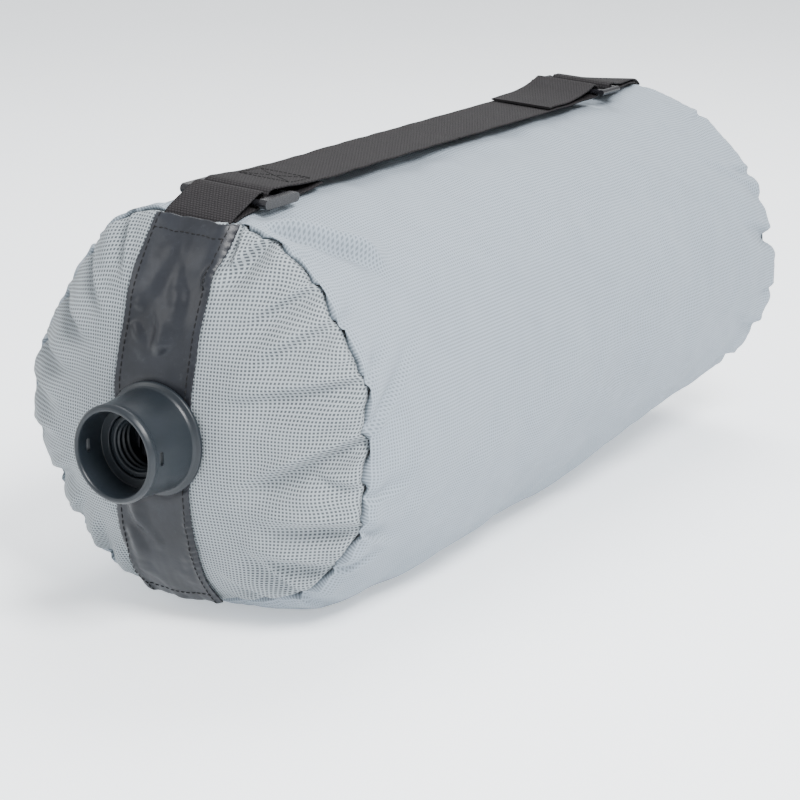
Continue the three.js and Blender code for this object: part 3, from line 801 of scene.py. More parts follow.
def corner_uv(nr, n, fn):
    out = []
    for j in range(nr - 1):
        for i in range(n):
            for jj, ii in ((j, i), (j, i + 1), (j + 1, i + 1), (j + 1, i)):
                out.append(fn(jj, ii))
    return np.array(out)


cap_rows = BAG[:NC]
tube_rows = np.concatenate([BAG[rim_j:rim_j + 1], BAG[NC:]])
tube_y_rest = np.concatenate([[-285.0], Y_TUBE_ROWS])


def cap_uv(jj, ii):
    r = R_CAP_ROWS[jj] / 1000 * 1.035
    t = 2 * math.pi * ii / N
    return (r * math.sin(t), r * math.cos(t))


def tube_uv(jj, ii):
    return (ii / N * 2 * math.pi * 0.139, tube_y_rest[jj] / 1000)


def flip_if_inward(o, centre):
    me = o.data
    s = sum((p.center - Vector(centre)).dot(p.normal) * p.area for p in me.polygons)
    if s < 0:
        me.flip_normals()


bag_cap = obj_from("bag_front_cap", cap_rows.reshape(-1, 3), grid_faces(NC, N), M_CAP, corner_uv(NC, N, cap_uv))
bag_tube = obj_from("bag_tube", tube_rows.reshape(-1, 3), grid_faces(len(tube_rows), N), M_TUBE, corner_uv(len(tube_rows), N, tube_uv))
for o in (bag_cap, bag_tube):
    flip_if_inward(o, (0, 0, 0.13))
BVH_CAP = BVHTree.FromPolygons([tuple(p) for p in BAG[:NC + 28].reshape(-1, 3)], grid_faces(NC + 28, N))
subsurf(bag_cap, 1)
for o in (bag_cap, bag_tube):
    solidify(o, 0.0008)
    apply_mods(o)
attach(bag_cap, "bag")
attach(bag_tube, "bag")
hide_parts("front_cap_panel")
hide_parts("tube_panel")


def bag_point(deg, y):
    """Point and outward normal of the tube surface."""
    jf = np.interp(y, tube_y_rest, np.arange(len(tube_rows)))
    i = (deg % 360) / 360 * N
    j0 = int(min(jf, len(tube_rows) - 1.001))
    i0 = int(i) % N
    i1 = (i0 + 1) % N
    fj, fi = jf - j0, i - int(i)
    A = tube_rows
    p = (A[j0, i0] * (1 - fj) + A[j0 + 1, i0] * fj) * (1 - fi) + (A[j0, i1] * (1 - fj) + A[j0 + 1, i1] * fj) * fi
    dy = (A[j0 + 1, i0] - A[j0, i0])
    dt = (A[j0, i1] - A[j0, i0])
    n = np.cross(dy, dt)
    n /= max(1e-9, np.linalg.norm(n))
    if n[0] * math.sin(math.radians(deg)) + n[2] * math.cos(math.radians(deg)) < 0:
        n = -n
    return p, n


def strip_on_tube(name, path, width, off, thick, mat, body="bag", m=7, replaces=(), sub=False):
    """A flat tape laid on the tube: path of (deg, y), off outward (or inward if negative)."""
    P, Nn = zip(*[bag_point(d, y) for d, y in path])
    P, Nn = np.array(P), np.array(Nn)
    V, UV = [], []
    L = np.concatenate([[0], np.cumsum(np.linalg.norm(np.diff(P, axis=0), axis=1))])
    for k in range(len(P)):
        t = P[min(k + 1, len(P) - 1)] - P[max(k - 1, 0)]
        t /= np.linalg.norm(t)
        s = np.cross(Nn[k], t)
        s /= np.linalg.norm(s)
        for q in range(m):
            u = (q / (m - 1) - 0.5) * width
            r = 138.0
            drop = u * u / (2 * r)
            V.append(P[k] + s * u + Nn[k] * (off - drop))
            UV.append((u / 1000, L[k] / 1000))
    o = obj_from(name, V, grid_faces(len(P), m, False), mat, np.array(UV))
    flip_if_inward(o, (0, 0, 0.13))
    solidify(o, thick / 1000, 1.0 if off > 0 else -1.0)
    apply_mods(o)
    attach(o, body)
    if replaces:
        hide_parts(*replaces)
    return o, P, Nn


# inner tape of the long seam, and the felled seam it covers
SEAM_DEG = 221.0
ys = np.linspace(-270, 272, 110)
strip_on_tube("seam_tape_inside", [(SEAM_DEG, y) for y in np.linspace(-250, 250, 60)], 20, -1.6, 0.8, M_BIND, replaces=("tube_seam_tape",))
fell, FP, FN = strip_on_tube("seam_fell", [(SEAM_DEG, y) for y in ys], 8, 0.15, 0.6, M_TUBE)
rowsS = []
for sgn in (-1, 1):
    off = []
    for k in range(len(FP)):
        t = FP[min(k + 1, len(FP) - 1)] - FP[max(k - 1, 0)]
        s = np.cross(FN[k], t)
        s /= np.linalg.norm(s)
        off.append(FP[k] + s * sgn * 2.6 + FN[k] * 0.75)
    rowsS += stitch_row(off, FN, 2.8, 0.9, 0.1)
st = capsules("seam_stitches", rowsS, 0.22, M_THREAD_G)
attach(st, "bag")


def rim_ring(name, row, inward, y0, y1, node):
    """Binding over the seam allowance, inside a rim, following its outline."""
    P = row.copy()
    c = np.array([0, 0, AZ + 2.0])
    V, UV = [], []
    m = 6
    s = 0.0
    loop = np.vstack([P, P[:1]])
    L = np.concatenate([[0], np.cumsum(np.linalg.norm(np.diff(loop, axis=0), axis=1))])
    prof = [(inward, y0), (inward + 0.2, y1), (inward + 1.5, y1), (inward + 1.7, y0)]
    out = []
    for d, y in prof:
        q = P.copy()
        rad = np.stack([P[:, 0], P[:, 2] - AZ], 1)
        rr = np.linalg.norm(rad, axis=1)
        k = (rr - d) / rr
        q[:, 0] = rad[:, 0] * k
        q[:, 2] = rad[:, 1] * k + AZ
        q[:, 1] = y + (P[:, 1] - P[:, 1].mean())
        out.append(q)
    V = np.concatenate(out)
    n = len(P)
    F = []
    for j in range(4):
        k2 = (j + 1) % 4
        for i in range(n):
            F.append((j * n + i, j * n + (i + 1) % n, k2 * n + (i + 1) % n, k2 * n + i))
    UVc = []
    for j in range(4):
        for i in range(n):
            UVc += [(j * 0.008, L[i] / 1000), (j * 0.008, L[i + 1] / 1000), ((j + 1) * 0.008, L[i + 1] / 1000), ((j + 1) * 0.008, L[i] / 1000)]
    o = obj_from(name, V, F, M_BIND, np.array(UVc))
    bm = bmesh.new()
    bm.from_mesh(o.data)
    bmesh.ops.recalc_face_normals(bm, faces=bm.faces)
    bm.to_mesh(o.data)
    bm.free()
    o.data.set_sharp_from_angle(angle=math.radians(40))
    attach(o, "bag")
    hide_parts(node)
    return o


rim_ring("front_rim_binding_tape", BAG[rim_j], 1.8, -282.0, -273.5, "front_rim_binding")
rim_ring("rear_rim_binding_tape", BAG[-1], 2.0, 273.5, 281.5, "rear_rim_binding")

# ------------------------------------------------------------------ rear cap, split along the zipper
RR = (135.0 ** 2 + 38.0 ** 2) / 76.0
RC = 285 + 38 - RR
ZH = 26.0
rear_rim = BAG[-1]
RHO = np.concatenate([[0.0, 0.03, 0.06, 0.09, 0.12, 0.15], np.linspace(0.18, 0.90, 44), [0.913, 0.925, 0.935, 0.945, 0.953, 0.96, 0.967, 0.973, 0.979, 0.984, 0.989, 0.993, 0.997, 1.0]])
rrim = np.hypot(rear_rim[:, 0], rear_rim[:, 2] - AZ)
rx, rz = rear_rim[:, 0] / rrim, (rear_rim[:, 2] - AZ) / rrim
rows = []
for rho in RHO:
    r = rho * rrim
    w = smooth01(rho, 0.55, 1.0)
    rs = np.minimum(r, 134.9) * (1 - w) + rho * 135.0 * w
    y = RC + np.sqrt(RR ** 2 - rs ** 2)
    y = y + (rear_rim[:, 1] - 285.0) * w
    s = (1 - rho) * 135
    atrim = 1 - smooth01(rho, 0.975, 1.0)           # nothing moves the sewn edge itself
    y = y + atrim * ((1.4 + 1.2 * gath2) * np.exp(-((s - 6) / 5.0) ** 2) + 0.8 * gath * np.exp(-(s / 24.0) ** 2))
    keep = np.exp(-((r * rz - ZH) / 15.0) ** 4)       # flat and even beside the zipper
    y0 = RC + np.sqrt(RR ** 2 - np.minimum(r, 134.9) ** 2)
    y = y * (1 - keep * (1 - smooth01(rho, 0.93, 1.0))) + y0 * keep * (1 - smooth01(rho, 0.93, 1.0))
    for dg, dep in ((20, 3.0), (48, 3.4), (112, 3.2), (133, 3.6), (158, 3.0), (-18, 2.6), (-50, 3.6), (-110, 3.0), (-136, 3.8), (-160, 2.8)):
        da = ((DEG - dg + 180) % 360 - 180) * math.pi / 180 * r
        y = y - atrim * dep * smooth01(rho, 0.55, 1.0) * (np.exp(-(da / 6.0) ** 2) - 0.4 * np.exp(-((da - 11) / 6.0) ** 2)) * (1 - keep)
    rows.append(np.stack([r * rx, y, r * rz + AZ], 1))
rear = np.array(rows)


def rear_uv(jj, ii):
    r = RHO[jj] * 0.139
    t = 2 * math.pi * ii / N
    return (r * math.sin(t), r * math.cos(t))


def rear_half(name, upper, node):
    o = obj_from(name, rear.reshape(-1, 3), grid_faces(len(RHO), N), M_REAR, corner_uv(len(RHO), N, rear_uv))
    bm = bmesh.new()
    bm.from_mesh(o.data)
    bmesh.ops.remove_doubles(bm, verts=bm.verts, dist=1e-6)
    z = (AZ + ZH + (6.6 if upper else -6.6)) / 1000
    bmesh.ops.bisect_plane(bm, geom=bm.verts[:] + bm.edges[:] + bm.faces[:], plane_co=(0, 0, z), plane_no=(0, 0, 1 if upper else -1), clear_inner=True, dist=1e-7)
    bm.to_mesh(o.data)
    bm.free()
    flip_if_inward(o, (0, 0, 0.13))
    solidify(o, 0.0008)
    apply_mods(o)
    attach(o, "bag")
    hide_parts(node)
    return o


rear_half("bag_rear_cap_upper", True, "rear_cap_upper_panel")
rear_half("bag_rear_cap_lower", False, "rear_cap_lower_panel")


def sph(th_deg, s, R):
    """Point of a sphere about the rear centre; s = height over the zipper line."""
    z = ZH + s
    rp = math.sqrt(R * R - z * z)
    t = math.radians(th_deg)
    return np.array([rp * math.sin(t), RC + rp * math.cos(t), AZ + z])


def sph_n(p):
    n = p - np.array([0, RC, AZ])
    return n / np.linalg.norm(n)


def sph_strip(name, s0, s1, R, thick, d0, d1, mat, n=110, m=6, replaces=(), wave=0.0):
    V, UV = [], []
    for k in range(n + 1):
        th = d0 + (d1 - d0) * k / n
        for q in range(m):
            s = s0 + (s1 - s0) * q / (m - 1)
            p = sph(th, s, R + wave * math.sin(k * 1.9) * (q in (0, m - 1)))
            V.append(p)
            UV.append((s / 1000, math.radians(th) * R / 1000))
    o = obj_from(name, V, grid_faces(n + 1, m, False), mat, np.array(UV))
    flip_if_inward(o, (0, (RC + SH) / 1000, AZ / 1000))
    solidify(o, thick / 1000, -1.0)
    apply_mods(o)
    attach(o, "bag")
    if replaces:
        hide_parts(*replaces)
    return o


T1 = RR - 2 - 0.55
for nm, sg in (("upper", 1), ("lower", -1)):
    sph_strip("zip_tape_" + nm, sg * 0.9, sg * 18, T1, 0.7, -28.6, 28.6, M_TAPE, replaces=("zipper_tape_" + nm,))
    # turned hem along the panel edge, with two rows of stitches
    sph_strip("zip_hem_" + nm, sg * 6.4, sg * 15.5, RR + 1.1, 0.9, -28.6, 28.6, M_REAR, m=8)
    sg_rows = []
    for s in (8.2, 13.6):
        pts = [sph(t, sg * s, RR + 1.15) for t in np.linspace(-28.4, 28.4, 120)]
        sg_rows += stitch_row(pts, [sph_n(p) for p in pts], 2.6, 0.9, 0.08)
    o = capsules("zip_stitches_" + nm, sg_rows, 0.24, M_THREAD_G)
    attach(o, "bag")
    # nylon coil: a real helix along the dome arc
    V, F = [], []
    turns = int(math.radians(54.8) * RR / 1.35)
    per = 14
    Rc = T1 + 0.3 + 1.25
    cen = []
    for k in range(turns * per + 1):
        th = -27.4 + 54.8 * k / (turns * per)
        a = 2 * math.pi * (k % per) / per
        s = 2.15 + 1.15 * math.cos(a)
        h = 0.95 * math.sin(a)
        cen.append(sph(th + 0.0, sg * s, Rc + h))
    cen = np.array(cen)
    tang = np.gradient(cen, axis=0)
    tang /= np.linalg.norm(tang, axis=1)[:, None]
    sides = 5
    for k in range(len(cen)):
        n = sph_n(cen[k])
        u = np.cross(tang[k], n)
        u /= np.linalg.norm(u)
        w = np.cross(u, tang[k])
        for q in range(sides):
            b = 2 * math.pi * q / sides
            V.append(cen[k] + 0.32 * (u * math.cos(b) + w * math.sin(b)))
    F = grid_faces(len(cen), sides)
    F.append(tuple(range(sides))[::-1])
    F.append(tuple((len(cen) - 1) * sides + q for q in range(sides)))
    o = obj_from("zip_coil_" + nm, V, F, M_COIL)
    bm = bmesh.new(); bm.from_mesh(o.data); bmesh.ops.recalc_face_normals(bm, faces=bm.faces); bm.to_mesh(o.data); bm.free()
    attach(o, "bag")
    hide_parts("zipper_coil_" + nm)

# cloth that closes the two ends of the zipper opening, tucked under the panels up to the rim
for nm, sg in (("right", 1), ("left", -1)):
    d0, d1 = sorted((sg * 28.62, sg * 29.55))
    sph_strip("zip_end_" + nm, -9.5, 9.5, RR - 0.95, 0.8, d0, d1, M_REAR, n=8, m=10)

# ------------------------------------------------------------------ vinyl strip over the front cap
def roll_pt(p):
    """Turns points about the bag axis by ROLL, from upright to where the strap sits."""
    p = np.array(p, float)
    x, z = p[..., 0], p[..., 2] - AZ
    q = p.copy()
    q[..., 0] = x * math.cos(ROLL) + z * math.sin(ROLL)
    q[..., 2] = -x * math.sin(ROLL) + z * math.cos(ROLL) + AZ
    return q


def hit_cap(x, z):
    h = BVH_CAP.ray_cast(Vector((x, -420, z)), Vector((0, 1, 0)))
    if h[0] is None:
        return None, None
    n = np.array(h[1])
    if n[1] > 0:
        n = -n
    return np.array(h[0]), n


VU = np.concatenate([[-29, -28.2, -26.8, -25, -23.4], np.linspace(-21.5, 21.5, 19), [23.4, 25, 26.8, 28.2, 29]])
NV = 190
grid = np.zeros((NV, len(VU), 3))
nrmg = np.zeros_like(grid)
for q, u in enumerate(VU):
    # ends of this column on the rim
    def rim_z(sign):
        best = None
        for zz in np.linspace(60, 150, 181):
            p = roll_pt([u, 0, AZ + sign * zz])
            d = math.degrees(math.atan2(p[0], p[2] - AZ)) % 360
            i = d / 360 * N
            row = BAG[rim_j]
            i0 = int(i) % N
            f = i - int(i)
            rr = np.hypot(row[:, 0], row[:, 2] - AZ)
            lim = rr[i0] * (1 - f) + rr[(i0 + 1) % N] * f
            if math.hypot(p[0], p[2] - AZ) > lim - 0.4:
                return zz
        return 120.0
    zt, zb = rim_z(1), -rim_z(-1)
    for k in range(NV):
        zz = zb + (zt - zb) * k / (NV - 1)
        p = roll_pt([u, 0, AZ + zz])
        h, n = hit_cap(p[0], p[2])
        if h is None:
            h = grid[k - 1, q] if k else np.array([p[0], -285, p[2]])
            n = nrmg[k - 1, q] if k else np.array([0, -1.0, 0])
        grid[k, q] = h
        nrmg[k, q] = n
# the vinyl is stiffer than the cloth: it bridges the small puckers
for _ in range(10):
    g = grid.copy()
    g[1:-1, :, 1] = (grid[:-2, :, 1] + 2 * grid[1:-1, :, 1] + grid[2:, :, 1]) / 4
    g[:, 1:-1, 1] = (g[:, :-2, 1] + 2 * g[:, 1:-1, 1] + g[:, 2:, 1]) / 4
    grid[:, :, 1] = np.minimum(g[:, :, 1], grid[:, :, 1])
VV = np.linspace(-1, 1, NV)
uu, vv = np.meshgrid(VU, VV)
zz = vv * 128
lift = np.full_like(uu, 0.45)
# wide soft facets and folds, deepest between the connector and the top rim
VF = [((-6, 122), (-18, 52), -2.6, 10), ((10, 112), (27, 62), 3.4, 6), ((10, 98), (-2, 44), -3.8, 10), ((-16, 80), (-2, 46), 2.2, 5), ((22, 54), (0, 42), 2.2, 4.5),
      ((-27, 72), (-4, 60), 1.8, 4), ((27, 118), (10, 92), 2.8, 5), ((-10, -44), (-18, -110), -2.6, 8), ((16, -46), (8, -100), 2.6, 7), ((-24, -60), (-2, -86), 2.2, 5),
      ((26, -70), (4, -94), 2.4, 5), ((-4, -96), (12, -122), 2.2, 6)]
for a, b, dep, wid in VF:
    d, t = seg_dist(uu, zz, a, b)
    env = np.sin(np.clip(t * 0.9 + 0.05, 0, 1) * math.pi) ** 0.6
    lift -= env * dep * np.exp(-(d / wid) ** 2) - env * dep * 0.45 * np.exp(-((np.abs(d) - 1.6 * wid) / wid) ** 2)
lift += 0.5 * vnoise(uu, zz, scale=26.0, seed=41, octaves=3)
edge = 29 - np.abs(uu)
wr = np.cumsum(np.full(NV, 1.0))
rib = np.sin(zz / 4.6 * 2 * math.pi + 0.9 * vnoise(zz, uu * 0, scale=30.0, seed=8, octaves=2)[:, :])
lift += (0.75 + 0.55 * rib) * np.exp(-((edge - 3.2) / 2.4) ** 2) - 0.9 * np.exp(-((edge - 6.3) / 1.0) ** 2)
rr0 = np.hypot(grid[:, :, 0] - CX, grid[:, :, 2] - CZ)
flatw = 1 - smooth01(rr0, 38, 52)
lift = lift * (1 - flatw) + 0.45 * flatw
lift = np.maximum(lift, 0.75 + 0.5 * smooth01(np.abs(uu), 18, 27) + 0.6 * smooth01(np.abs(zz), 96, 122))
G = grid + nrmg * lift[:, :, None]
# side scallop of the hem
side = roll_pt(np.array([1.0, 0, AZ])) - np.array([0, 0, AZ])
G += (np.sign(uu) * 0.45 * rib * np.exp(-(edge / 1.2) ** 2))[:, :, None] * side
# beneath the connector flange everything is pressed flat
pin = rr0 < 38
G[:, :, 1] = np.where(pin, FLAT_Y - 0.45, G[:, :, 1])
faces = []
for j in range(NV - 1):
    for i in range(len(VU) - 1):
        c = (G[j, i] + G[j + 1, i + 1]) / 2
        if math.hypot(c[0] - CX, c[2] - CZ) < 23:
            continue
        faces.append((j * len(VU) + i, j * len(VU) + i + 1, (j + 1) * len(VU) + i + 1, (j + 1) * len(VU) + i))
uvv = np.stack([uu / 1000, zz / 1000], -1).reshape(-1, 2)
vin = obj_from("vinyl_strip", G.reshape(-1, 3), faces, M_VINYL, uvv)
bm = bmesh.new(); bm.from_mesh(vin.data)
bmesh.ops.delete(bm, geom=[v for v in bm.verts if not v.link_faces], context="VERTS")
bm.to_mesh(vin.data); bm.free()
flip_if_inward(vin, (0, -0.1, 0.13))
subsurf(vin, 1)
solidify(vin, 0.0011, 1.0)
apply_mods(vin)
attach(vin, "bag"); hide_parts("vinyl_reinforcement_strip")
segs = []
for target in (25.6, -25.6):
    col = [G[k, np.argmin(np.abs(VU - target))] for k in range(NV)]
    nn = [nrmg[k, np.argmin(np.abs(VU - target))] for k in range(NV)]
    segs += stitch_row(np.array(col), np.array(nn), 3.3, 1.3, 1.25)
for k in (6, NV - 7):
    segs += stitch_row(G[k, 2:-2], nrmg[k, 2:-2], 3.0, 1.2, 1.25)
o = capsules("vinyl_stitches", segs, 0.34, M_THREAD_K)
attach(o, "bag")

# ------------------------------------------------------------------ connector
SOCK = FLAT_Y - 2.35
prof = rounded([(20.6, SOCK), (36, SOCK), (36, SOCK - 2.4), (33.4, SOCK - 3.6), (32.3, SOCK - 5.2), (30.4, -366), (30.4, -368.6), (30.9, -369.2), (30.9, -371.6), (29.2, -374), (27.2, -374),
                (26.5, -372.6), (26.3, -352), (20.6, -352)], 0.7, 3)
sock = lathe("connector_socket_body", prof, M_PLASTIC, 128, CX, CZ)
for sx in (-1, 1):
    bmc = bmesh.new()
    bmesh.ops.create_cube(bmc, size=1.0)
    bmesh.ops.scale(bmc, vec=(0.012, 0.003, 0.0085), verts=bmc.verts)
    bmesh.ops.bevel(bmc, geom=bmc.edges[:], offset=0.0005, segments=2, affect="EDGES")
    bmesh.ops.translate(bmc, vec=((CX + sx * 29) / 1000, (-364.2 + SH) / 1000, CZ / 1000), verts=bmc.verts)
    cm = bpy.data.meshes.new("cut"); bmc.to_mesh(cm); bmc.free()
    co = bpy.data.objects.new("cut", cm); COL.objects.link(co)
    b = sock.modifiers.new("slot", "BOOLEAN"); b.operation = "DIFFERENCE"; b.object = co; b.solver = "EXACT"
    apply_mods(sock)
    bpy.data.objects.remove(co); bpy.data.meshes.remove(cm)
sock.data.set_sharp_from_angle(angle=math.radians(32))
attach(sock, "bag"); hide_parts("connector_socket")
y1 = -352 + 1.4
CAPIN = FLAT_Y + 2
f0 = CAPIN + 0.35 + 1.2 + 0.35
f1 = f0 + 3
pr = [(16.5, f1), (40, f1), (40, f0), (20, f0), (20, y1), (17.2, y1), (16.5, y1 + 0.9)]
for c in (y1 + 3.2, y1 + 7.7, y1 + 12.2):
    pr += [(16.5, c - 1.3), (15.2, c - 0.3), (15.2, c + 0.3), (16.5, c + 1.3)]
lock = lathe("connector_lock_ring_body", rounded(pr, 0.45, 3), M_PLASTIC, 112, CX, CZ)
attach(lock, "bag"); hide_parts("connector_lock_ring")

# ------------------------------------------------------------------ webbing
def resample(path, step=1.6):
    P = np.array(path, float)
    # smooth the corners with a Catmull-Rom pass
    out = []
    for k in range(len(P) - 1):
        p0, p1, p2, p3 = P[max(k - 1, 0)], P[k], P[k + 1], P[min(k + 2, len(P) - 1)]
        n = max(1, int(np.linalg.norm(p2 - p1) / step))
        for s in range(n):
            t = s / n
            out.append(0.5 * ((2 * p1) + (-p0 + p2) * t + (2 * p0 - 5 * p1 + 4 * p2 - p3) * t * t + (-p0 + 3 * p1 - 3 * p2 + p3) * t ** 3))
    out.append(P[-1])
    return np.array(out)


def arc(cy, cz, r, a0, a1, n):
    return [(cy + r * math.cos(math.radians(a0 + (a1 - a0) * k / n)), cz + r * math.sin(math.radians(a0 + (a1 - a0) * k / n))) for k in range(n + 1)]


def webbing(name, path, mat, width=50.0, t=1.5, side=None, v0=0.0, seed=1, edgewave=0.5, smoothpath=True, turn=None):
    """Flat woven strap with rolled selvedges along a line in the YZ plane. side(y) moves it in x, mm."""
    P = resample(path) if smoothpath else np.array(path, float)
    d = np.gradient(P, axis=0)
    d /= np.linalg.norm(d, axis=1)[:, None]
    nn = np.stack([-d[:, 1], d[:, 0]], 1)
    L = np.concatenate([[0], np.cumsum(np.linalg.norm(np.diff(P, axis=0), axis=1))])
    h = width / 2
    xs = np.concatenate([[-h], [-h + 0.35], np.linspace(-h + 1.4, h - 1.4, 15), [h - 0.35], [h]])
    top = [(x, t / 2 * (0.35 if abs(x) > h - 0.1 else 0.8 if abs(x) > h - 0.5 else 1.0)) for x in xs]
    prof = top + [(x, -z) for x, z in top[::-1]]
    V, UV = [], []
    m = len(prof)
    for k in range(len(P)):
        y, z = P[k]
        sx = side(y) if side else 0.0
        for x, o in prof:
            w = edgewave * vnoise(np.array(L[k]), np.array(x * 0.6), scale=38.0, seed=seed, octaves=2) * (abs(x) / h) ** 2
            xx = x + 0.25 * math.sin(L[k] / 5.3 + seed) * (abs(x) > h - 1)
            V.append((xx + sx, y + nn[k, 0] * (o + w * 0.6), z + nn[k, 1] * (o + w * 0.6)))
            UV.append(((x + (0 if o > 0 else 0.4)) / 1000, (L[k] + v0) / 1000))
    V = np.array(V)
    if turn is None:
        V = roll_pt(V)
    else:
        a_ = np.radians(turn(V[:, 1]))
        x_, z_ = V[:, 0].copy(), V[:, 2] - AZ
        V[:, 0] = x_ * np.cos(a_) + z_ * np.sin(a_)
        V[:, 2] = -x_ * np.sin(a_) + z_ * np.cos(a_) + AZ
    F = []
    for k in range(len(P) - 1):
        for q in range(m):
            F.append((k * m + q, k * m + (q + 1) % m, (k + 1) * m + (q + 1) % m, (k + 1) * m + q))
    F.append(tuple(range(m))[::-1])
    F.append(tuple((len(P) - 1) * m + q for q in range(m)))
    o = obj_from(name, V, F, mat, np.array([UV[i] for f in F for i in f]))
    bm = bmesh.new(); bm.from_mesh(o.data); bmesh.ops.recalc_face_normals(bm, faces=bm.faces); bm.to_mesh(o.data); bm.free()
    o.data.set_sharp_from_angle(angle=math.radians(60))
    return o, P, nn


def stitch_box(name, P, nn, i0, i1, xs, off, mat, v_line=True):
    """Stitching on top of a webbing piece: lines along x at both ends and along the strap, in the strap's own plane."""
    segs = []
    def pt(k, x):
        return roll_pt(np.array([x, P[k, 0] + nn[k, 0] * off, P[k, 1] + nn[k, 1] * off]))
    def nr(k):
        return roll_pt(np.array([0, nn[k, 0], nn[k, 1] + AZ])) - np.array([0, 0, AZ])
    for x in xs:
        line = [pt(k, x) for k in range(i0, i1 + 1)]
        segs += stitch_row(line, [nr(k) for k in range(i0, i1 + 1)], 2.6, 1.0, 0.05)
    for k in (i0, i1):
        line = [pt(k, x) for x in np.linspace(min(xs), max(xs), 20)]
        segs += stitch_row(line, [nr(k)] * 20, 2.6, 1.0, 0.05)
    for a, b in ((xs[0], xs[-1]), (xs[-1], xs[0])):
        ks = list(range(i0, i1 + 1))
        line = [pt(k, a + (b - a) * t / (len(ks) - 1)) for t, k in enumerate(ks)]
        segs += stitch_row(line, [nr(k) for k in ks], 2.6, 1.0, 0.05)
    o = capsules(name, segs, 0.30, mat)
    return o


SZ, RZ = 268.5, 279.5
RB0, RB1 = 176.0, 198.0
WR = 2.2 + 0.35 + 0.75
strapz = lambda y: 273.6 + 0.008 * y
# front anchor: from the seam up over the front bar and back beneath
anch, P, nn = webbing("front_anchor_strap", [(-291.3, 256.6), (-290.0, 259.4), (-286.5, 261.9), (-281, 264.8), (-271, 269.6), (-263, 273.0), (-259, 274.2), (-256, 273.9), (-254.5, 271.6), (-254.7, 268.6), (-256.2, 265.9), (-259, 264.6), (-263, 264.3), (-269, 263.6), (-277, 261.8), (-284.3, 259.6)], M_WEB, seed=3, edgewave=0.25)
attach(anch, "bag"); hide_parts("front_anchor_webbing")

# strap: one length in two halves that meet in the grip
Y_MID = -25.0
front_path = [(Y_MID, strapz(Y_MID)), (-80, strapz(-80) + 0.2), (-130, strapz(-130)), (-170, strapz(-170) - 0.2), (-200, 272.2), (-218, 272.9), (-232, 273.8), (-241, 274.4), (-247, 274.4), (-250.8, 272.6), (-252.0, 269.6), (-251.2, 266.8), (-248.2, 265.2), (-243, 264.8), (-232, 265.2), (-215, 266.4), (-192, 269.3)]
sf, P, nn = webbing("strap_front_half", front_path, M_WEB, seed=5)
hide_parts("strap_front", "strap_grip")
idx = [k for k in range(len(P)) if -222 < P[k, 0] < -198 and P[k, 1] > 270.9]
sb = stitch_box("strap_front_stitches", P, nn, min(idx), max(idx), [-20, 20], -0.95 if nn[idx[0], 1] < 0 else 0.95, M_THREAD_K)
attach(sb, "bag")
rear_path = [(Y_MID, strapz(Y_MID)), (20, strapz(20)), (60, strapz(60)), (100, strapz(100)), (135, strapz(135)), (158, 275.4), (168, 275.9)] + arc(RB0, RZ, WR, -92, 50, 8) + [(175.4, 284.0), (171.2, 285.2), (166, 283.6), (157, 281.2), (148, 279.2), (132, 277.5), (102, 276.8)]
sr, P2, nn2 = webbing("strap_rear_half", rear_path, M_WEB, seed=9)
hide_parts("strap_rear")
idx = [k for k in range(len(P2)) if 107 < P2[k, 0] < 134 and k > len(P2) // 2]
sb2 = stitch_box("strap_rear_stitches", P2, nn2, min(idx), max(idx), [-20, 20], 0.95 if nn2[idx[0], 1] > 0 else -0.95, M_THREAD_K)
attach(sb2, "bag")
anr, P3, nn3 = webbing("rear_anchor_strap", [(288.5, 265.6), (286.6, 267.6), (279, 271.1), (262, 273.7), (248, 275.2), (235, 276.6), (222, 278.4), (210, 280.8), (204, 282.6)] + arc(RB1, RZ, WR, 66, 280, 12) + [(210, 275.8), (222, 274.7), (235, 273.5), (248, 272.4), (262, 271.2), (279, 268.7), (285.6, 265.3)], M_WEB, seed=13, edgewave=0.35, turn=twist)
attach(anr, "bag"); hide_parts("rear_anchor_webbing")
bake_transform(sf)
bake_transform(sr)

# ------------------------------------------------------------------ carried-over CAD nodes
def finish_node(name, mat, bevel=0.0003, seg=2, angle=30):
    o = NODES[name]
    o.data.materials.clear()
    o.data.materials.append(mat)
    for p in o.data.polygons:
        p.use_smooth = True
    o.data.set_sharp_from_angle(angle=math.radians(angle))
    b = o.modifiers.new("edge", "BEVEL")
    b.width = bevel
    b.segments = seg
    b.limit_method = "ANGLE"
    b.angle_limit = math.radians(angle)
    b.harden_normals = False


finish_node("front_slider", M_HARD, 0.0008, 3)
finish_node("rear_ring", M_HARD, 0.0006, 3)
finish_node("zipper_slider", M_METAL, 0.00025, 2)
finish_node("zipper_pull_tab", M_METAL, 0.0003, 3)
finish_node("zipper_stop_left", M_METAL, 0.00025, 2)
finish_node("zipper_stop_right", M_METAL, 0.00025, 2)
finish_node("connector_gasket", M_RUBBER, 0.0003, 2)

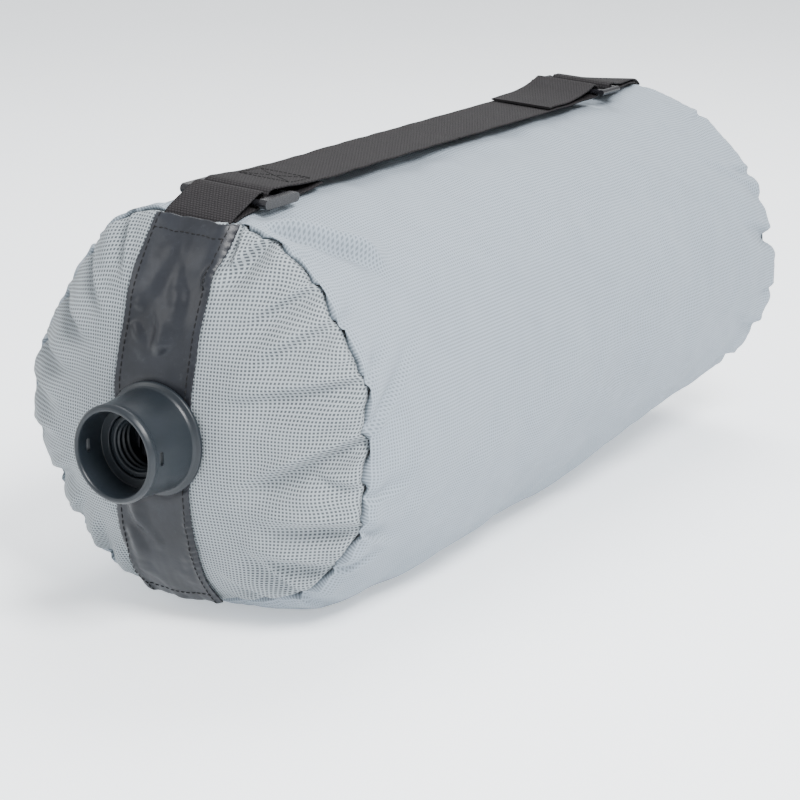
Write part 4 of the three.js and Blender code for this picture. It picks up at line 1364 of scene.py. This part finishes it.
# ------------------------------------------------------------------ stage, lights, camera
def floor():
    me = bpy.data.meshes.new("floor")
    n = 24
    V = [((i / n - 0.5) * 60, (j / n - 0.5) * 60, -0.0002) for j in range(n + 1) for i in range(n + 1)]
    me.from_pydata(V, [], grid_faces(n + 1, n + 1, False))
    a = Mat("pale_floor")
    a.link(a.ramp(a.noise(3, 2, 0.5, a.obj()), [(0.3, (0.90, 0.925, 0.95)), (0.7, (0.92, 0.945, 0.97))]), a.b.inputs["Base Color"])
    a.b.inputs["Roughness"].default_value = 0.55
    a.b.inputs["Specular IOR Level"].default_value = 0.2
    a.b.inputs["Emission Color"].default_value = (0.93, 0.97, 1.0, 1)
    a.b.inputs["Emission Strength"].default_value = 0.55
    me.materials.append(a.m)
    o = bpy.data.objects.new("floor", me)
    COL.objects.link(o)


floor()
w = bpy.data.worlds.new("studio")
scene.world = w
w.use_nodes = True
bg = w.node_tree.nodes["Background"]
bg.inputs[0].default_value = (0.97, 0.985, 1.0, 1)
bg.inputs[1].default_value = 1.0


def area(name, loc, target, size, energy, color=(1, 1, 1)):
    l = bpy.data.lights.new(name, "AREA")
    l.shape = "RECTANGLE"
    l.size, l.size_y = size
    l.energy = energy
    l.color = color
    o = bpy.data.objects.new(name, l)
    COL.objects.link(o)
    o.location = loc
    d = Vector(target) - Vector(loc)
    o.rotation_euler = d.to_track_quat("-Z", "Y").to_euler()
    return o


area("key", (1.35, -0.75, 1.75), (0, -0.05, 0.12), (0.8, 0.8), 104)
area("back_top", (-0.3, 1.2, 2.0), (0, 0.1, 0.15), (1.6, 1.2), 55)
area("front_left", (-1.5, -1.6, 1.1), (0, -0.2, 0.15), (1.0, 1.0), 14)

cam = bpy.data.cameras.new("cam")
cam.sensor_width = 36
cam.lens = 2329 * 36 / 800
cam.clip_start, cam.clip_end = 0.01, 50
co = bpy.data.objects.new("cam", cam)
COL.objects.link(co)
fw = Vector((-0.522, 0.807, -0.276)).normalized()
rt = fw.cross(Vector((0, 0, 1))).normalized()
up = rt.cross(fw)
a = math.radians(-0.6)
r2, u2 = rt * math.cos(a) + up * math.sin(a), up * math.cos(a) - rt * math.sin(a)
Mx = Matrix((r2, u2, -fw)).transposed().to_4x4()
Mx.translation = Vector((0.869, -1.3685, 0.543))
co.matrix_world = Mx
scene.camera = co

bpy.context.view_layer.update()
